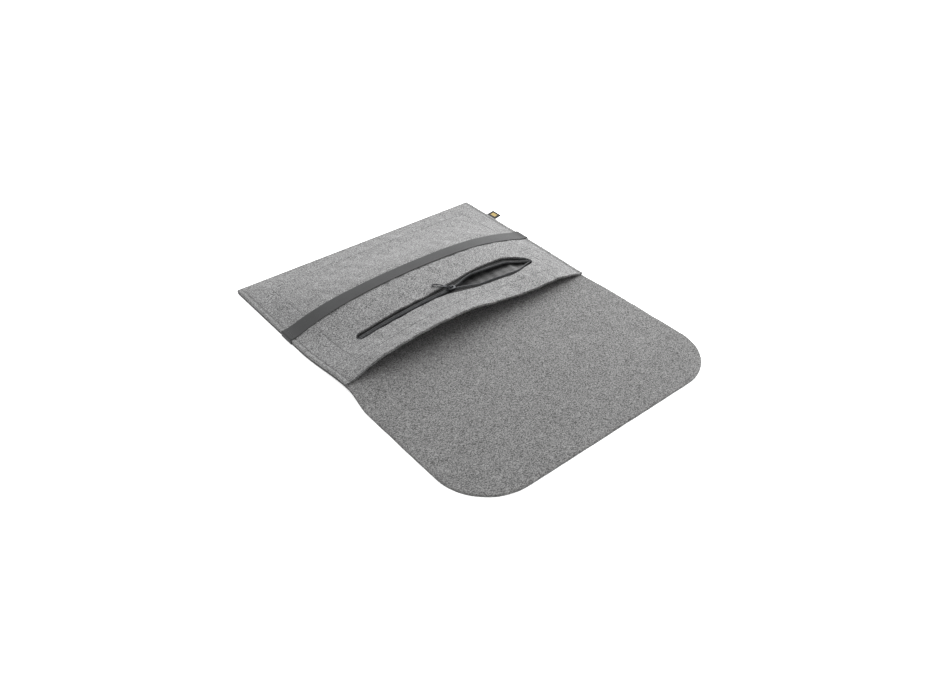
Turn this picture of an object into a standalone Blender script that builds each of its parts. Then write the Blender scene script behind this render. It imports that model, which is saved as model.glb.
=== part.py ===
"""Felt laptop sleeve with a fold-over flap, an elastic strap and a zip pocket.

X runs across the sleeve, -Y points out of the mouth to the open flap, +Z is up.
The origin is the middle of the back panel's underside, on the surface it lies on.
The sleeve keeps the shape that a slim laptop and a full zip pocket give it.
"""

import math

import bmesh
import bpy
from mathutils import Matrix, Vector

# ---- driving dimensions, in metres ------------------------------------------
WIDTH = 0.355
DEPTH = 0.236
FELT = 0.003
GAP = 0.0003
FLAP_LENGTH = 0.212
SPINE = 0.033
CORNER = 0.062
BORDER = 0.005

HALF = WIDTH / 2
MOUTH_Y = -DEPTH / 2
END_Y = DEPTH / 2
SEAM_TOP = 2 * FELT + GAP
MOUTH_SETBACK = 0.0025

# Zip pocket: the zip lies along an arc, and is open to the right of the slider.
ZIP_Y = MOUTH_Y + 0.057
ZIP_MIDDLE_X = 0.0055
ZIP_HALF_LENGTH = 0.1305
ZIP_INSET = 0.001
ZIP_TOP = 0.026
ZIP_SAGITTA = 0.0120
ZIP_RADIUS = (ZIP_HALF_LENGTH**2 + ZIP_SAGITTA**2) / (2 * ZIP_SAGITTA)
SLIDER_X = 0.007
OPEN_END_X = 0.137
OPEN_RAMP_LEFT = 0.042
OPEN_RAMP_RIGHT = 0.038
OPEN_HALF = 0.0105

# The felt's lips, 1 the upper and -1 the lower: where each starts to bow, its first
# ramp's length, where it ends, and its last ramp's length.
SLOT_HALF = 0.0058
LIP_HALF = 0.0125
LIP_BOWS = {1: (-0.033, 0.125, 0.142, 0.036), -1: (-0.020, 0.060, 0.145, 0.060)}
TAPE_THICKNESS = 0.0006
TAPE_HEM = 0.0025
COIL_RADIUS = 0.0012
HAIR = 0.0001
STOP_LENGTH = 0.003
STOP_WIDTH = 0.0048
STOP_HEIGHT = 0.0018

# Slider: an upper plate, a shorter lower plate, the post between them, and a bridge.
SLIDER_LENGTH = 0.013
SLIDER_WIDTH = 0.0084
SLIDER_PLATE = 0.001
FLOOR_LENGTH = 0.0105
FLOOR_WIDTH = 0.0072
FLOOR_PLATE = 0.0008
FLOOR_DROP = 0.0016
POST_LENGTH = 0.0007
POST_WIDTH = 0.0006
BRIDGE_LEFT = -0.0048
BRIDGE_RIGHT = 0.0034
BRIDGE_WIDTH = 0.0024
BRIDGE_FOOT = 0.0012
BRIDGE_BAR = 0.0009
BRIDGE_TOP = 0.0042

# Puller: its crossbar lies in the bridge, on the swing's axis.
PULLER_THICKNESS = 0.0009
PULLER_CLEARANCE = 0.0009
PULLER_LENGTH = 0.022
PULLER_WIDTH = 0.0066
PULLER_CROSSBAR = 0.001
PULLER_EYE_LENGTH = 0.005
PULLER_SLOT_WIDTH = 0.0038
PULLER_WINDOW_LENGTH = 0.011

POCKET_HALF = 0.149
POCKET_NEAR_Y = MOUTH_Y + 0.023
POCKET_FAR_Y = MOUTH_Y + 0.209
LINING = 0.0006
LINING_LEVEL = 0.0126
POCKET_CLEARANCE = 0.0027

STRAP_Y = 0.0
STRAP_WIDTH = 0.021
STRAP_THICKNESS = 0.0012
STRAP_CLEARANCE = 0.0017
STRAP_LEG_BOTTOM = 0.001

THREAD_RADIUS = 0.0004
THREAD_LIFT = 0.001
SEAM_INSET = 0.0045
SEAM_MARGIN = 0.006
POCKET_SEAM_INSET = 0.002

TAG_Y = MOUTH_Y + 0.185
TAG_LENGTH = 0.014
TAG_WIDTH = 0.0165
TAG_THICKNESS = 0.0011
SMALL_BEVEL = 0.0003

# Heights of the front panel's top, as (share of the half width, height).
MOUTH_ARCH = [
    (-1.0, SEAM_TOP), (-0.97, 0.0068), (-0.93, 0.0090), (-0.80, 0.0195), (-0.68, 0.0268),
    (-0.50, 0.0322), (-0.27, 0.0350), (-0.01, 0.0332), (0.20, 0.0262), (0.43, 0.0202),
    (0.74, 0.0170), (0.93, 0.0095), (0.97, 0.0068), (1.0, SEAM_TOP),
]
STRAP_ARCH = [
    (-1.0, SEAM_TOP), (-0.97, 0.0068), (-0.85, 0.0130), (-0.72, 0.0188), (-0.56, 0.0234),
    (-0.28, 0.0275), (0.0, 0.0288), (0.28, 0.0279), (0.52, 0.0245), (0.72, 0.0182),
    (0.85, 0.0125), (0.97, 0.0068), (1.0, SEAM_TOP),
]
REAR_ARCH = [
    (-1.0, SEAM_TOP), (-0.97, 0.0066), (-0.84, 0.0096), (-0.56, 0.0128), (0.0, 0.0138),
    (0.56, 0.0128), (0.84, 0.0096), (0.97, 0.0066), (1.0, SEAM_TOP),
]
HEM_ARCH = [
    (-1.0, SEAM_TOP), (-0.97, 0.0065), (-0.84, 0.0082), (0.0, 0.0094), (0.84, 0.0082),
    (0.97, 0.0065), (1.0, SEAM_TOP),
]


# ---- shape rules --------------------------------------------------------------
def smoothstep(value):
    value = min(1.0, max(0.0, value))
    return value * value * (3 - 2 * value)


def monotone_slopes(points):
    """Slopes at the points of a curve that never overshoots them."""
    steps = [
        (b[1] - a[1]) / (b[0] - a[0]) for a, b in zip(points, points[1:])
    ]
    slopes = [steps[0]]
    for before, after in zip(steps, steps[1:]):
        same_way = before * after > 0
        slopes.append(2 * before * after / (before + after) if same_way else 0.0)
    slopes.append(steps[-1])
    return slopes


def curve_through(points, at):
    """Value at a place on the smooth monotone curve through (place, value) points."""
    if at <= points[0][0]:
        return points[0][1]
    if at >= points[-1][0]:
        return points[-1][1]
    slopes = monotone_slopes(points)
    index = next(i for i, p in enumerate(points[1:]) if at <= p[0])
    (x0, y0), (x1, y1) = points[index], points[index + 1]
    span = x1 - x0
    t = (at - x0) / span
    return (
        y0 * (1 + 2 * t) * (1 - t) ** 2
        + y1 * t * t * (3 - 2 * t)
        + span * t * (1 - t) * (slopes[index] * (1 - t) - slopes[index + 1] * t)
    )


def zip_arc_height(x):
    """Height of the felt's top along the zip, where the slider runs."""
    offset = x - ZIP_MIDDLE_X
    return ZIP_TOP - ZIP_RADIUS + math.sqrt(ZIP_RADIUS**2 - offset**2)


def zip_line_height(x):
    """The zip's arc, running down to the side seams beyond its ends."""
    reach = ZIP_HALF_LENGTH + 0.003
    if abs(x - ZIP_MIDDLE_X) <= reach:
        return zip_arc_height(x)
    side = math.copysign(1.0, x - ZIP_MIDDLE_X)
    edge = ZIP_MIDDLE_X + side * reach
    inner = ZIP_MIDDLE_X + side * (reach - 0.01)
    seam = side * (HALF - BORDER)
    points = [(0.0, zip_arc_height(inner)), (0.01, zip_arc_height(edge))]
    points += [(abs(seam - inner), 0.0068), (abs(side * HALF - inner), SEAM_TOP)]
    return curve_through(points, abs(x - inner))


def panel_top(x, y):
    """Height of the front panel's upper face."""
    share = x / HALF
    stations = [
        (MOUTH_Y, curve_through(MOUTH_ARCH, share)),
        (ZIP_Y, zip_line_height(x)),
        (STRAP_Y, curve_through(STRAP_ARCH, share)),
        (MOUTH_Y + 0.190, curve_through(REAR_ARCH, share)),
        (MOUTH_Y + 0.214, curve_through(HEM_ARCH, share)),
        (END_Y - BORDER, SEAM_TOP + 0.0002),
        (END_Y, SEAM_TOP),
    ]
    return curve_through(stations, y)


def zip_gap(x):
    """Half of the gap between the zip's two sides: shut left of the slider, open to its right."""
    opening = smoothstep((x - SLIDER_X) / OPEN_RAMP_LEFT)
    closing = smoothstep((OPEN_END_X - x) / OPEN_RAMP_RIGHT)
    return OPEN_HALF * min(opening, closing)


def lip_offset(x, side):
    """Distance from the zip's line to the felt's lip, which starts to bow before the slider."""
    start, first_ramp, end, last_ramp = LIP_BOWS[side]
    opening = smoothstep((x - start) / first_ramp)
    closing = smoothstep((end - x) / last_ramp)
    return SLOT_HALF + LIP_HALF * min(opening, closing)


def lining_top(x, y):
    """Height of the pocket lining's upper face: it meets the felt at its sewn edge."""
    inset = min(POCKET_HALF - abs(x), y - POCKET_NEAR_Y, POCKET_FAR_Y - y)
    under_felt = panel_top(x, y) - FELT - 2 * GAP
    spare = max(0.0, under_felt - POCKET_CLEARANCE - LINING_LEVEL)
    return under_felt - POCKET_CLEARANCE * smoothstep(inset / 0.012) - spare * smoothstep(inset / 0.030)


# ---- Blender helpers ------------------------------------------------------------
def clear_scene():
    for item in list(bpy.data.objects):
        bpy.data.objects.remove(item, do_unlink=True)


def new_collection(name):
    collection = bpy.data.collections.new(name)
    bpy.context.scene.collection.children.link(collection)
    return collection


def make_material(name, color, roughness, metallic=0.0):
    material = bpy.data.materials.new(name)
    material.use_nodes = True
    shader = material.node_tree.nodes["Principled BSDF"]
    shader.inputs["Base Color"].default_value = (*color, 1.0)
    shader.inputs["Roughness"].default_value = roughness
    shader.inputs["Metallic"].default_value = metallic
    return material


def hang_on(item, axis_empty):
    """Parents a piece to the empty on its joint's axis, and leaves it where it is."""
    item.parent = axis_empty
    item.matrix_parent_inverse = Matrix.Translation(-axis_empty.location)


def add_object(name, data, collection, material=None, parent=None):
    item = bpy.data.objects.new(name, data)
    collection.objects.link(item)
    if material is not None:
        data.materials.append(material)
    if parent is not None:
        hang_on(item, parent)
    return item


def add_axis(name, location, collection):
    """An empty on a joint's axis, which the moving pieces are parented to."""
    empty = bpy.data.objects.new(name, None)
    empty.location = location
    empty.empty_display_size = 0.02
    collection.objects.link(empty)
    return empty


def solidify(item, thickness, offset):
    modifier = item.modifiers.new("Thickness", "SOLIDIFY")
    modifier.thickness = thickness
    modifier.offset = offset
    return modifier


def bevel(item, width, segments=2):
    modifier = item.modifiers.new("Bevel", "BEVEL")
    modifier.width = width
    modifier.segments = segments
    modifier.limit_method = "ANGLE"
    return modifier


def boolean(item, other, operation):
    modifier = item.modifiers.new("Boolean", "BOOLEAN")
    modifier.operation = operation
    modifier.solver = "EXACT"
    modifier.object = other
    return modifier


def hide_cutter(item):
    item.hide_render = True
    item.display_type = "WIRE"


def mesh_grid(name, columns, rows, place):
    """An open grid whose corners are (0, 0) to (1, 1), each vertex moved by place(u, v)."""
    mesh = bpy.data.meshes.new(name)
    shape = bmesh.new()
    bmesh.ops.create_grid(shape, x_segments=columns, y_segments=rows, size=0.5)
    for vertex in shape.verts:
        vertex.co = place(vertex.co.x + 0.5, vertex.co.y + 0.5)
    shape.to_mesh(mesh)
    shape.free()
    return mesh


def mesh_box(name, low, high):
    mesh = bpy.data.meshes.new(name)
    shape = bmesh.new()
    bmesh.ops.create_cube(shape, size=1.0)
    low, high = Vector(low), Vector(high)
    for vertex in shape.verts:
        share = vertex.co + Vector((0.5, 0.5, 0.5))
        vertex.co = low + Vector(s * d for s, d in zip(share, high - low))
    shape.to_mesh(mesh)
    shape.free()
    return mesh


def outline_curve(name, points, low, high):
    """A flat outline with a thickness, from low to high."""
    curve = bpy.data.curves.new(name, "CURVE")
    curve.dimensions = "2D"
    curve.fill_mode = "BOTH"
    curve.extrude = (high - low) / 2
    spline = curve.splines.new("POLY")
    spline.points.add(len(points) - 1)
    for slot, (x, y) in zip(spline.points, points):
        slot.co = (x, y, 0.0, 1.0)
    spline.use_cyclic_u = True
    return curve


def tube_curve(name, points, radius, resolution=1, cyclic=False):
    """A round tube along points, with filled caps."""
    curve = bpy.data.curves.new(name, "CURVE")
    curve.dimensions = "3D"
    curve.bevel_depth = radius
    curve.bevel_resolution = resolution
    curve.use_fill_caps = True
    spline = curve.splines.new("POLY")
    spline.points.add(len(points) - 1)
    for slot, point in zip(spline.points, points):
        slot.co = (*point, 1.0)
    spline.use_cyclic_u = cyclic
    return curve


def as_mesh_object(name, curve, collection, lift=0.0):
    """A curve made into a welded mesh object, so that it can be cut or can cut."""
    source = bpy.data.objects.new(name + "_curve", curve)
    source.location.z = lift
    collection.objects.link(source)
    bpy.context.view_layer.update()
    evaluated = source.evaluated_get(bpy.context.evaluated_depsgraph_get())
    mesh = bpy.data.meshes.new_from_object(evaluated)
    shape = bmesh.new()
    shape.from_mesh(mesh)
    bmesh.ops.remove_doubles(shape, verts=shape.verts, dist=0.00001)
    shape.to_mesh(mesh)
    shape.free()
    item = bpy.data.objects.new(name, mesh)
    item.matrix_world = source.matrix_world
    collection.objects.link(item)
    bpy.data.objects.remove(source, do_unlink=True)
    return item


def spread(first, last, count):
    return [first + (last - first) * i / (count - 1) for i in range(count)]


def arc_points(centre, radius, start, end, count):
    return [
        (centre[0] + radius * math.cos(a), centre[1] + radius * math.sin(a))
        for a in spread(start, end, count)
    ]


# ---- felt body --------------------------------------------------------------------
def build_back_panel(parts, felt):
    mesh = mesh_box(
        "back_panel",
        (-HALF, MOUTH_Y + GAP / 2, 0.0),
        (HALF, END_Y - SEAM_TOP / 2 - GAP, FELT),
    )
    return add_object("back_panel", mesh, parts, felt)


def build_end_fold(parts, felt):
    """The closed end, where the felt turns over from the back panel to the front panel."""
    radius = SEAM_TOP / 2
    middle = END_Y - radius
    outer = arc_points((middle, radius), radius, -math.pi / 2, math.pi / 2, 9)
    inner = arc_points((middle, radius), GAP / 2, math.pi / 2, -math.pi / 2, 5)
    curve = outline_curve("end_fold", outer + inner, -HALF, HALF)
    item = as_mesh_object("end_fold", curve, parts)
    item.rotation_euler = (math.pi / 2, 0.0, math.pi / 2)
    item.data.materials.append(felt)
    return item


def slot_outline():
    """Outline of the slot in the front panel: rounded ends, bowed where the zip is open."""
    left = ZIP_MIDDLE_X - ZIP_HALF_LENGTH
    right = ZIP_MIDDLE_X + ZIP_HALF_LENGTH
    turns = spread(0.0, math.pi / 2, 9)
    places = [(left + SLOT_HALF * (1 - math.cos(a)), math.sin(a)) for a in turns]
    bows = spread(LIP_BOWS[1][0], right - SLOT_HALF, 31)
    places += [(x, 1.0) for x in bows[:-1]]
    places += [(right - SLOT_HALF * (1 - math.cos(a)), math.sin(a)) for a in reversed(turns)]
    lower = [(x, ZIP_Y - share * lip_offset(x, -1)) for x, share in places]
    upper = [(x, ZIP_Y + share * lip_offset(x, 1)) for x, share in reversed(places)]
    return lower + upper[1:-1]


def build_front_panel(parts, cutters, felt):
    def place(u, v):
        across = 2 * u - 1
        x = HALF * (0.6 * across + 0.4 * math.sin(math.pi * across / 2))
        near = MOUTH_Y + MOUTH_SETBACK
        y = near + (END_Y - SEAM_TOP / 2 - GAP - near) * v
        return Vector((x, y, panel_top(x, y)))

    item = add_object("front_panel", mesh_grid("front_panel", 32, 22, place), parts, felt)
    solidify(item, FELT, -1.0)
    cutter = as_mesh_object("slot_cutter", outline_curve("slot", slot_outline(), -0.03, 0.03), cutters)
    hide_cutter(cutter)
    boolean(item, cutter, "DIFFERENCE")
    return item


def build_flap(parts, felt, lower_fold, upper_fold):
    """The strip between the two folds, and the flap with its rounded corners."""
    fold_y = MOUTH_Y - SPINE
    spine_mesh = mesh_box(
        "flap_spine", (-HALF, fold_y + GAP / 2, 0.0), (HALF, MOUTH_Y - GAP / 2, FELT)
    )
    add_object("flap_spine", spine_mesh, parts, felt, lower_fold)

    tip = MOUTH_Y - FLAP_LENGTH
    root = fold_y - GAP / 2
    middle = HALF - CORNER
    points = [(HALF, root), (-HALF, root)]
    points += arc_points((-middle, tip + CORNER), CORNER, math.pi, 1.5 * math.pi, 15)
    points += arc_points((middle, tip + CORNER), CORNER, 1.5 * math.pi, 2 * math.pi, 15)
    curve = outline_curve("flap", points, 0.0, FELT)
    flap = add_object("flap", curve, parts, felt, upper_fold)
    flap.location.z += FELT / 2
    return flap


# ---- pocket lining and seams --------------------------------------------------------
def build_lining(parts, lining):
    def place(u, v):
        x = POCKET_HALF * (2 * u - 1)
        y = POCKET_NEAR_Y + (POCKET_FAR_Y - POCKET_NEAR_Y) * v
        return Vector((x, y, lining_top(x, y)))

    item = add_object("pocket_lining", mesh_grid("pocket_lining", 22, 14, place), parts, lining)
    solidify(item, LINING, -1.0)
    return item


def build_threads(parts, thread):
    for side, word in ((-1, "left"), (1, "right")):
        x = side * (HALF - SEAM_INSET)
        run = spread(MOUTH_Y + SEAM_MARGIN, END_Y - SEAM_MARGIN, 24)
        points = [(x, y, panel_top(x, y) + THREAD_LIFT) for y in run]
        add_object(f"side_seam_thread_{word}", tube_curve("seam", points, THREAD_RADIUS), parts, thread)

    edge = POCKET_SEAM_INSET
    along = spread(-POCKET_HALF + edge, POCKET_HALF - edge, 25)
    up = spread(POCKET_NEAR_Y + edge, POCKET_FAR_Y - edge, 15)
    loop = [(x, up[0]) for x in along] + [(along[-1], y) for y in up[1:]]
    loop += [(x, up[-1]) for x in reversed(along[:-1])] + [(along[0], y) for y in reversed(up[1:-1])]
    points = [(x, y, panel_top(x, y) + THREAD_LIFT) for x, y in loop]
    curve = tube_curve("pocket_seam", points, THREAD_RADIUS, cyclic=True)
    add_object("pocket_seam_thread", curve, parts, thread)


# ---- zip ----------------------------------------------------------------------------
def zip_stations():
    """Where the tapes and the row of teeth begin and end, just inside the slot."""
    left = ZIP_MIDDLE_X - ZIP_HALF_LENGTH + ZIP_INSET
    right = ZIP_MIDDLE_X + ZIP_HALF_LENGTH - ZIP_INSET
    return left, right


def build_tape(parts, tape, side, word, parent):
    left, right = zip_stations()

    def place(u, v):
        x = left + (right - left) * u
        inner = GAP + zip_gap(x) + HAIR
        outer = lip_offset(x, side) + TAPE_HEM
        y = ZIP_Y + side * (inner + (outer - inner) * v)
        under_lip = min(panel_top(x, y), panel_top(x, ZIP_Y + side * lip_offset(x, side)))
        level = zip_arc_height(x) * (1 - v) + under_lip * v
        return Vector((x, y, level - FELT - 2 * GAP))

    mesh = mesh_grid(f"zip_tape_{word}", 34, 2, place)
    if side < 0:
        mesh.flip_normals()
    item = add_object(f"zip_tape_{word}", mesh, parts, tape, parent)
    solidify(item, TAPE_THICKNESS, -1.0)
    return item


def build_coil(parts, coil, side, word, parent):
    left, right = zip_stations()
    run = spread(left + STOP_LENGTH + GAP, right - STOP_LENGTH - GAP, 34)
    points = []
    for x in run:
        y = ZIP_Y + side * (GAP / 2 + COIL_RADIUS + HAIR + zip_gap(x))
        points.append((x, y, coil_level(x)))
    return add_object(f"zip_coil_{word}", tube_curve("coil", points, COIL_RADIUS), parts, coil, parent)


def coil_level(x):
    """Height of the coil's middle: it rides on the tape, inside the slot."""
    return zip_arc_height(x) - FELT - GAP + COIL_RADIUS


def build_stops(parts, metal):
    left, right = zip_stations()
    level = coil_level(left + STOP_LENGTH) - COIL_RADIUS + GAP
    low = (left, ZIP_Y - STOP_WIDTH / 2, level)
    high = (left + STOP_LENGTH - GAP, ZIP_Y + STOP_WIDTH / 2, level + STOP_HEIGHT)
    item = add_object("zip_bottom_stop", mesh_box("stop", low, high), parts, metal)
    bevel(item, SMALL_BEVEL)
    for side, word in ((1, "upper"), (-1, "lower")):
        level = coil_level(right - STOP_LENGTH) - COIL_RADIUS + GAP
        edges = sorted((ZIP_Y + side * GAP, ZIP_Y + side * STOP_WIDTH / 2))
        low = (right - STOP_LENGTH + GAP, edges[0], level)
        high = (right, edges[1], level + STOP_HEIGHT)
        item = add_object(f"zip_top_stop_{word}", mesh_box("stop", low, high), parts, metal)
        bevel(item, SMALL_BEVEL)


def build_slider(parts, cutters, metal, track):
    """The slider's two plates, the post between them and the bridge that holds the puller."""
    coil = coil_level(SLIDER_X)
    top = coil + COIL_RADIUS + GAP
    bottom = coil - COIL_RADIUS - TAPE_THICKNESS - FLOOR_DROP
    inside = top + SLIDER_PLATE / 2
    right = SLIDER_LENGTH / 2

    def block(name, left_edge, right_edge, width, low, high):
        return mesh_box(
            name,
            (SLIDER_X + left_edge, ZIP_Y - width / 2, low),
            (SLIDER_X + right_edge, ZIP_Y + width / 2, high),
        )

    plate = add_object(
        "zip_slider",
        block("plate", -right, right, SLIDER_WIDTH, top, top + SLIDER_PLATE),
        parts, metal, track,
    )
    foot_top = top + BRIDGE_TOP - HAIR
    bar_low = top + BRIDGE_TOP - BRIDGE_BAR
    extras = [
        block("lower_plate", right - FLOOR_LENGTH, right, FLOOR_WIDTH, bottom, bottom + FLOOR_PLATE),
        block("post", right - POST_LENGTH, right, POST_WIDTH, bottom + FLOOR_PLATE / 2, inside),
        block("left_foot", BRIDGE_LEFT, BRIDGE_LEFT + BRIDGE_FOOT, BRIDGE_WIDTH, inside, foot_top),
        block("right_foot", BRIDGE_RIGHT - BRIDGE_FOOT, BRIDGE_RIGHT, BRIDGE_WIDTH, inside, foot_top),
        block("bridge_bar", BRIDGE_LEFT, BRIDGE_RIGHT, BRIDGE_WIDTH, bar_low, top + BRIDGE_TOP),
    ]
    for mesh in extras:
        extra = add_object(mesh.name, mesh, cutters)
        hide_cutter(extra)
        boolean(plate, extra, "UNION")
    return top + SLIDER_PLATE


def build_puller(parts, cutters, metal, swing):
    """A flat bar with a long window, hooked through the slider's bridge by its crossbar."""
    radius = PULLER_WIDTH / 2
    slot = PULLER_SLOT_WIDTH / 2
    tip = PULLER_LENGTH - radius
    half_bar = PULLER_CROSSBAR / 2

    shape = [(half_bar, -radius), (half_bar, radius)]
    shape += arc_points((-tip, 0.0), radius, math.pi / 2, 1.5 * math.pi, 13)
    eye_left = -half_bar - PULLER_EYE_LENGTH
    eye = [(eye_left, -slot), (-half_bar, -slot), (-half_bar, slot), (eye_left, slot)]
    window_right = -tip + PULLER_WINDOW_LENGTH - 2 * slot
    window = arc_points((-tip, 0.0), slot, math.pi / 2, 1.5 * math.pi, 11)
    window += arc_points((window_right, 0.0), slot, -math.pi / 2, math.pi / 2, 11)
    blank = outline_curve("puller", shape, 0.0, PULLER_THICKNESS)
    item = as_mesh_object("zip_puller", blank, parts)
    item.data.materials.append(metal)
    for name, points in (("window_cutter", window), ("eye_cutter", eye)):
        depth = 2 * PULLER_THICKNESS
        cutter = as_mesh_object(name, outline_curve(name, points, -depth, depth), cutters)
        cutter.parent = item
        hide_cutter(cutter)
        boolean(item, cutter, "DIFFERENCE")
    item.location = swing.location
    hang_on(item, swing)


# ---- strap and tag ------------------------------------------------------------------
def strap_level(x):
    """Height of the strap's underside: it lies over the highest felt below its width."""
    reach = STRAP_WIDTH / 2
    return max(panel_top(x, STRAP_Y + d) for d in (-reach, 0.0, reach)) + STRAP_CLEARANCE


def build_strap(parts, elastic, lift):
    outer = HALF + GAP + STRAP_THICKNESS

    def place(u, v):
        x = outer * (0.6 * (2 * u - 1) + 0.4 * math.sin(math.pi * (2 * u - 1) / 2))
        y = STRAP_Y + STRAP_WIDTH * (v - 0.5)
        return Vector((x, y, strap_level(x)))

    band = add_object("strap_band", mesh_grid("strap_band", 36, 1, place), parts, elastic, lift)
    solidify(band, STRAP_THICKNESS, 1.0)
    top = strap_level(outer) - GAP
    for side, word in ((-1, "left"), (1, "right")):
        edges = sorted((side * (HALF + GAP), side * outer))
        low = (edges[0], STRAP_Y - STRAP_WIDTH / 2, STRAP_LEG_BOTTOM)
        high = (edges[1], STRAP_Y + STRAP_WIDTH / 2, top)
        name = f"strap_end_{word}"
        bevel(add_object(name, mesh_box(name, low, high), parts, elastic), SMALL_BEVEL)


def build_tag(parts, woven):
    low = (HALF + GAP, TAG_Y - TAG_WIDTH / 2, FELT - TAG_THICKNESS / 2)
    high = (HALF + GAP + TAG_LENGTH, TAG_Y + TAG_WIDTH / 2, FELT + TAG_THICKNESS / 2)
    bevel(add_object("label_tag", mesh_box("label_tag", low, high), parts, woven), SMALL_BEVEL)


def main():
    clear_scene()
    parts = new_collection("laptop_sleeve")
    cutters = new_collection("cutters")
    felt = make_material("grey_felt", (0.30, 0.30, 0.30), 0.95)
    lining = make_material("dark_lining", (0.035, 0.036, 0.038), 0.85)
    thread = make_material("grey_thread", (0.16, 0.16, 0.16), 0.8)
    tape = make_material("zip_tape", (0.022, 0.024, 0.025), 0.8)
    coil = make_material("zip_coil", (0.03, 0.034, 0.034), 0.45)
    metal = make_material("gunmetal", (0.16, 0.16, 0.17), 0.35, 1.0)
    elastic = make_material("elastic", (0.075, 0.075, 0.08), 0.7)
    woven = make_material("woven_label", (0.02, 0.02, 0.02), 0.8)

    lower_fold = add_axis("lower_fold_axis", (0.0, MOUTH_Y, FELT), parts)
    upper_fold = add_axis("upper_fold_axis", (0.0, MOUTH_Y - SPINE, FELT), parts)
    strap_lift = add_axis("strap_lift_axis", (0.0, STRAP_Y, 0.0), parts)
    upper_lip = add_axis("upper_lip_axis", (ZIP_MIDDLE_X, ZIP_Y, ZIP_TOP), parts)
    lower_lip = add_axis("lower_lip_axis", (ZIP_MIDDLE_X, ZIP_Y, ZIP_TOP), parts)
    track = add_axis("zip_track_axis", (ZIP_MIDDLE_X, ZIP_Y, ZIP_TOP - ZIP_RADIUS), parts)

    build_back_panel(parts, felt)
    build_end_fold(parts, felt)
    build_front_panel(parts, cutters, felt)
    build_flap(parts, felt, lower_fold, upper_fold)
    build_lining(parts, lining)
    build_threads(parts, thread)
    for side, word, lip in ((1, "upper", upper_lip), (-1, "lower", lower_lip)):
        build_tape(parts, tape, side, word, lip)
        build_coil(parts, coil, side, word, lip)
    build_stops(parts, metal)
    plate_top = build_slider(parts, cutters, metal, track)
    swing_z = plate_top + PULLER_CLEARANCE + PULLER_THICKNESS / 2
    swing = add_axis("puller_swing_axis", (SLIDER_X, ZIP_Y, swing_z), parts)
    build_puller(parts, cutters, metal, swing)
    build_strap(parts, elastic, strap_lift)
    build_tag(parts, woven)


main()
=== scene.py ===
"""The looks of the felt laptop sleeve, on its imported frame.

X runs across the sleeve, -Y points out of the mouth to the open flap, +Z is up.
Lengths are in metres. The main sizes repeat the CAD model's, because the cloth
follows the same shape rules with a finer mesh.
"""

import math

import bmesh
import bpy
import numpy as np
from mathutils import Matrix, Vector


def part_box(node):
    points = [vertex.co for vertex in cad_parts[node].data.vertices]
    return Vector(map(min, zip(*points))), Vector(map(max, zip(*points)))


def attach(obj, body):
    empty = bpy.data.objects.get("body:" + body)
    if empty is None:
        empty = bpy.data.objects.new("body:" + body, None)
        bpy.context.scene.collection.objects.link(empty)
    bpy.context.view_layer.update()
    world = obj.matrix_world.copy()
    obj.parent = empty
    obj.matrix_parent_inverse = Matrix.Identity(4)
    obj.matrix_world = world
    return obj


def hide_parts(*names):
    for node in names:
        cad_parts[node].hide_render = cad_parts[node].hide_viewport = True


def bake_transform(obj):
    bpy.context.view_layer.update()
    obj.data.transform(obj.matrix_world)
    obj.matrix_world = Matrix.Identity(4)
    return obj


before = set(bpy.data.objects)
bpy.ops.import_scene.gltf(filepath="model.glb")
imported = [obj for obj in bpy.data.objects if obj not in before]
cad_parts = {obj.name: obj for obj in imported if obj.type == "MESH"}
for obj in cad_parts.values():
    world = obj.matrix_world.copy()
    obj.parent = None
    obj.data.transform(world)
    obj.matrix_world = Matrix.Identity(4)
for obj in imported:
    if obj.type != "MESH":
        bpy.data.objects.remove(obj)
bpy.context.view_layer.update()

# ---- driving dimensions, as in the CAD model ------------------------------------
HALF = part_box("back_panel")[1].x
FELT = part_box("back_panel")[1].z
END_Y = 0.118
MOUTH_Y = -0.118
GAP = 0.0003
SPINE = 0.033
FLAP_LENGTH = 0.212
CORNER = 0.062
BORDER = 0.005
BORDER_TOP = 0.0068
BORDER_RISE = 0.0002
SEAM_TOP = 2 * FELT + GAP
FOLD_RADIUS = SEAM_TOP / 2
MOUTH_SETBACK = 0.0025
SPLIT_Y = MOUTH_Y - SPINE / 2
FOLD_Y = MOUTH_Y - SPINE
TIP_Y = MOUTH_Y - FLAP_LENGTH

ZIP_Y = MOUTH_Y + 0.057
ZIP_MIDDLE_X = 0.0055
ZIP_HALF_LENGTH = 0.1305
ZIP_TOP = 0.026
ZIP_SAGITTA = 0.0120
ZIP_RADIUS = (ZIP_HALF_LENGTH**2 + ZIP_SAGITTA**2) / (2 * ZIP_SAGITTA)
SLOT_LEFT = ZIP_MIDDLE_X - ZIP_HALF_LENGTH
SLOT_RIGHT = ZIP_MIDDLE_X + ZIP_HALF_LENGTH
ZIP_RUN_OUT = 0.003
ZIP_RUN_DOWN = 0.010
SLIDER_X = 0.007
OPEN_END_X = 0.137
OPEN_RAMP_LEFT = 0.042
OPEN_RAMP_RIGHT = 0.038
OPEN_HALF = 0.0105
SLOT_HALF = 0.0058
LIP_HALF = 0.0125
# Each lip's bow, by its side of the zip: start, length of its rise, end, length of its fall.
LIP_BOWS = {1: (-0.033, 0.125, 0.142, 0.036), -1: (-0.020, 0.060, 0.145, 0.060)}
TAPE_THICKNESS = 0.0006
TAPE_HEM = 0.0028
COIL_RADIUS = 0.0012

POCKET_HALF = 0.149
POCKET_NEAR_Y = MOUTH_Y + 0.023
POCKET_FAR_Y = MOUTH_Y + 0.209
LINING = 0.0006
LINING_LEVEL = 0.0126
POCKET_CLEARANCE = 0.0027

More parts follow.
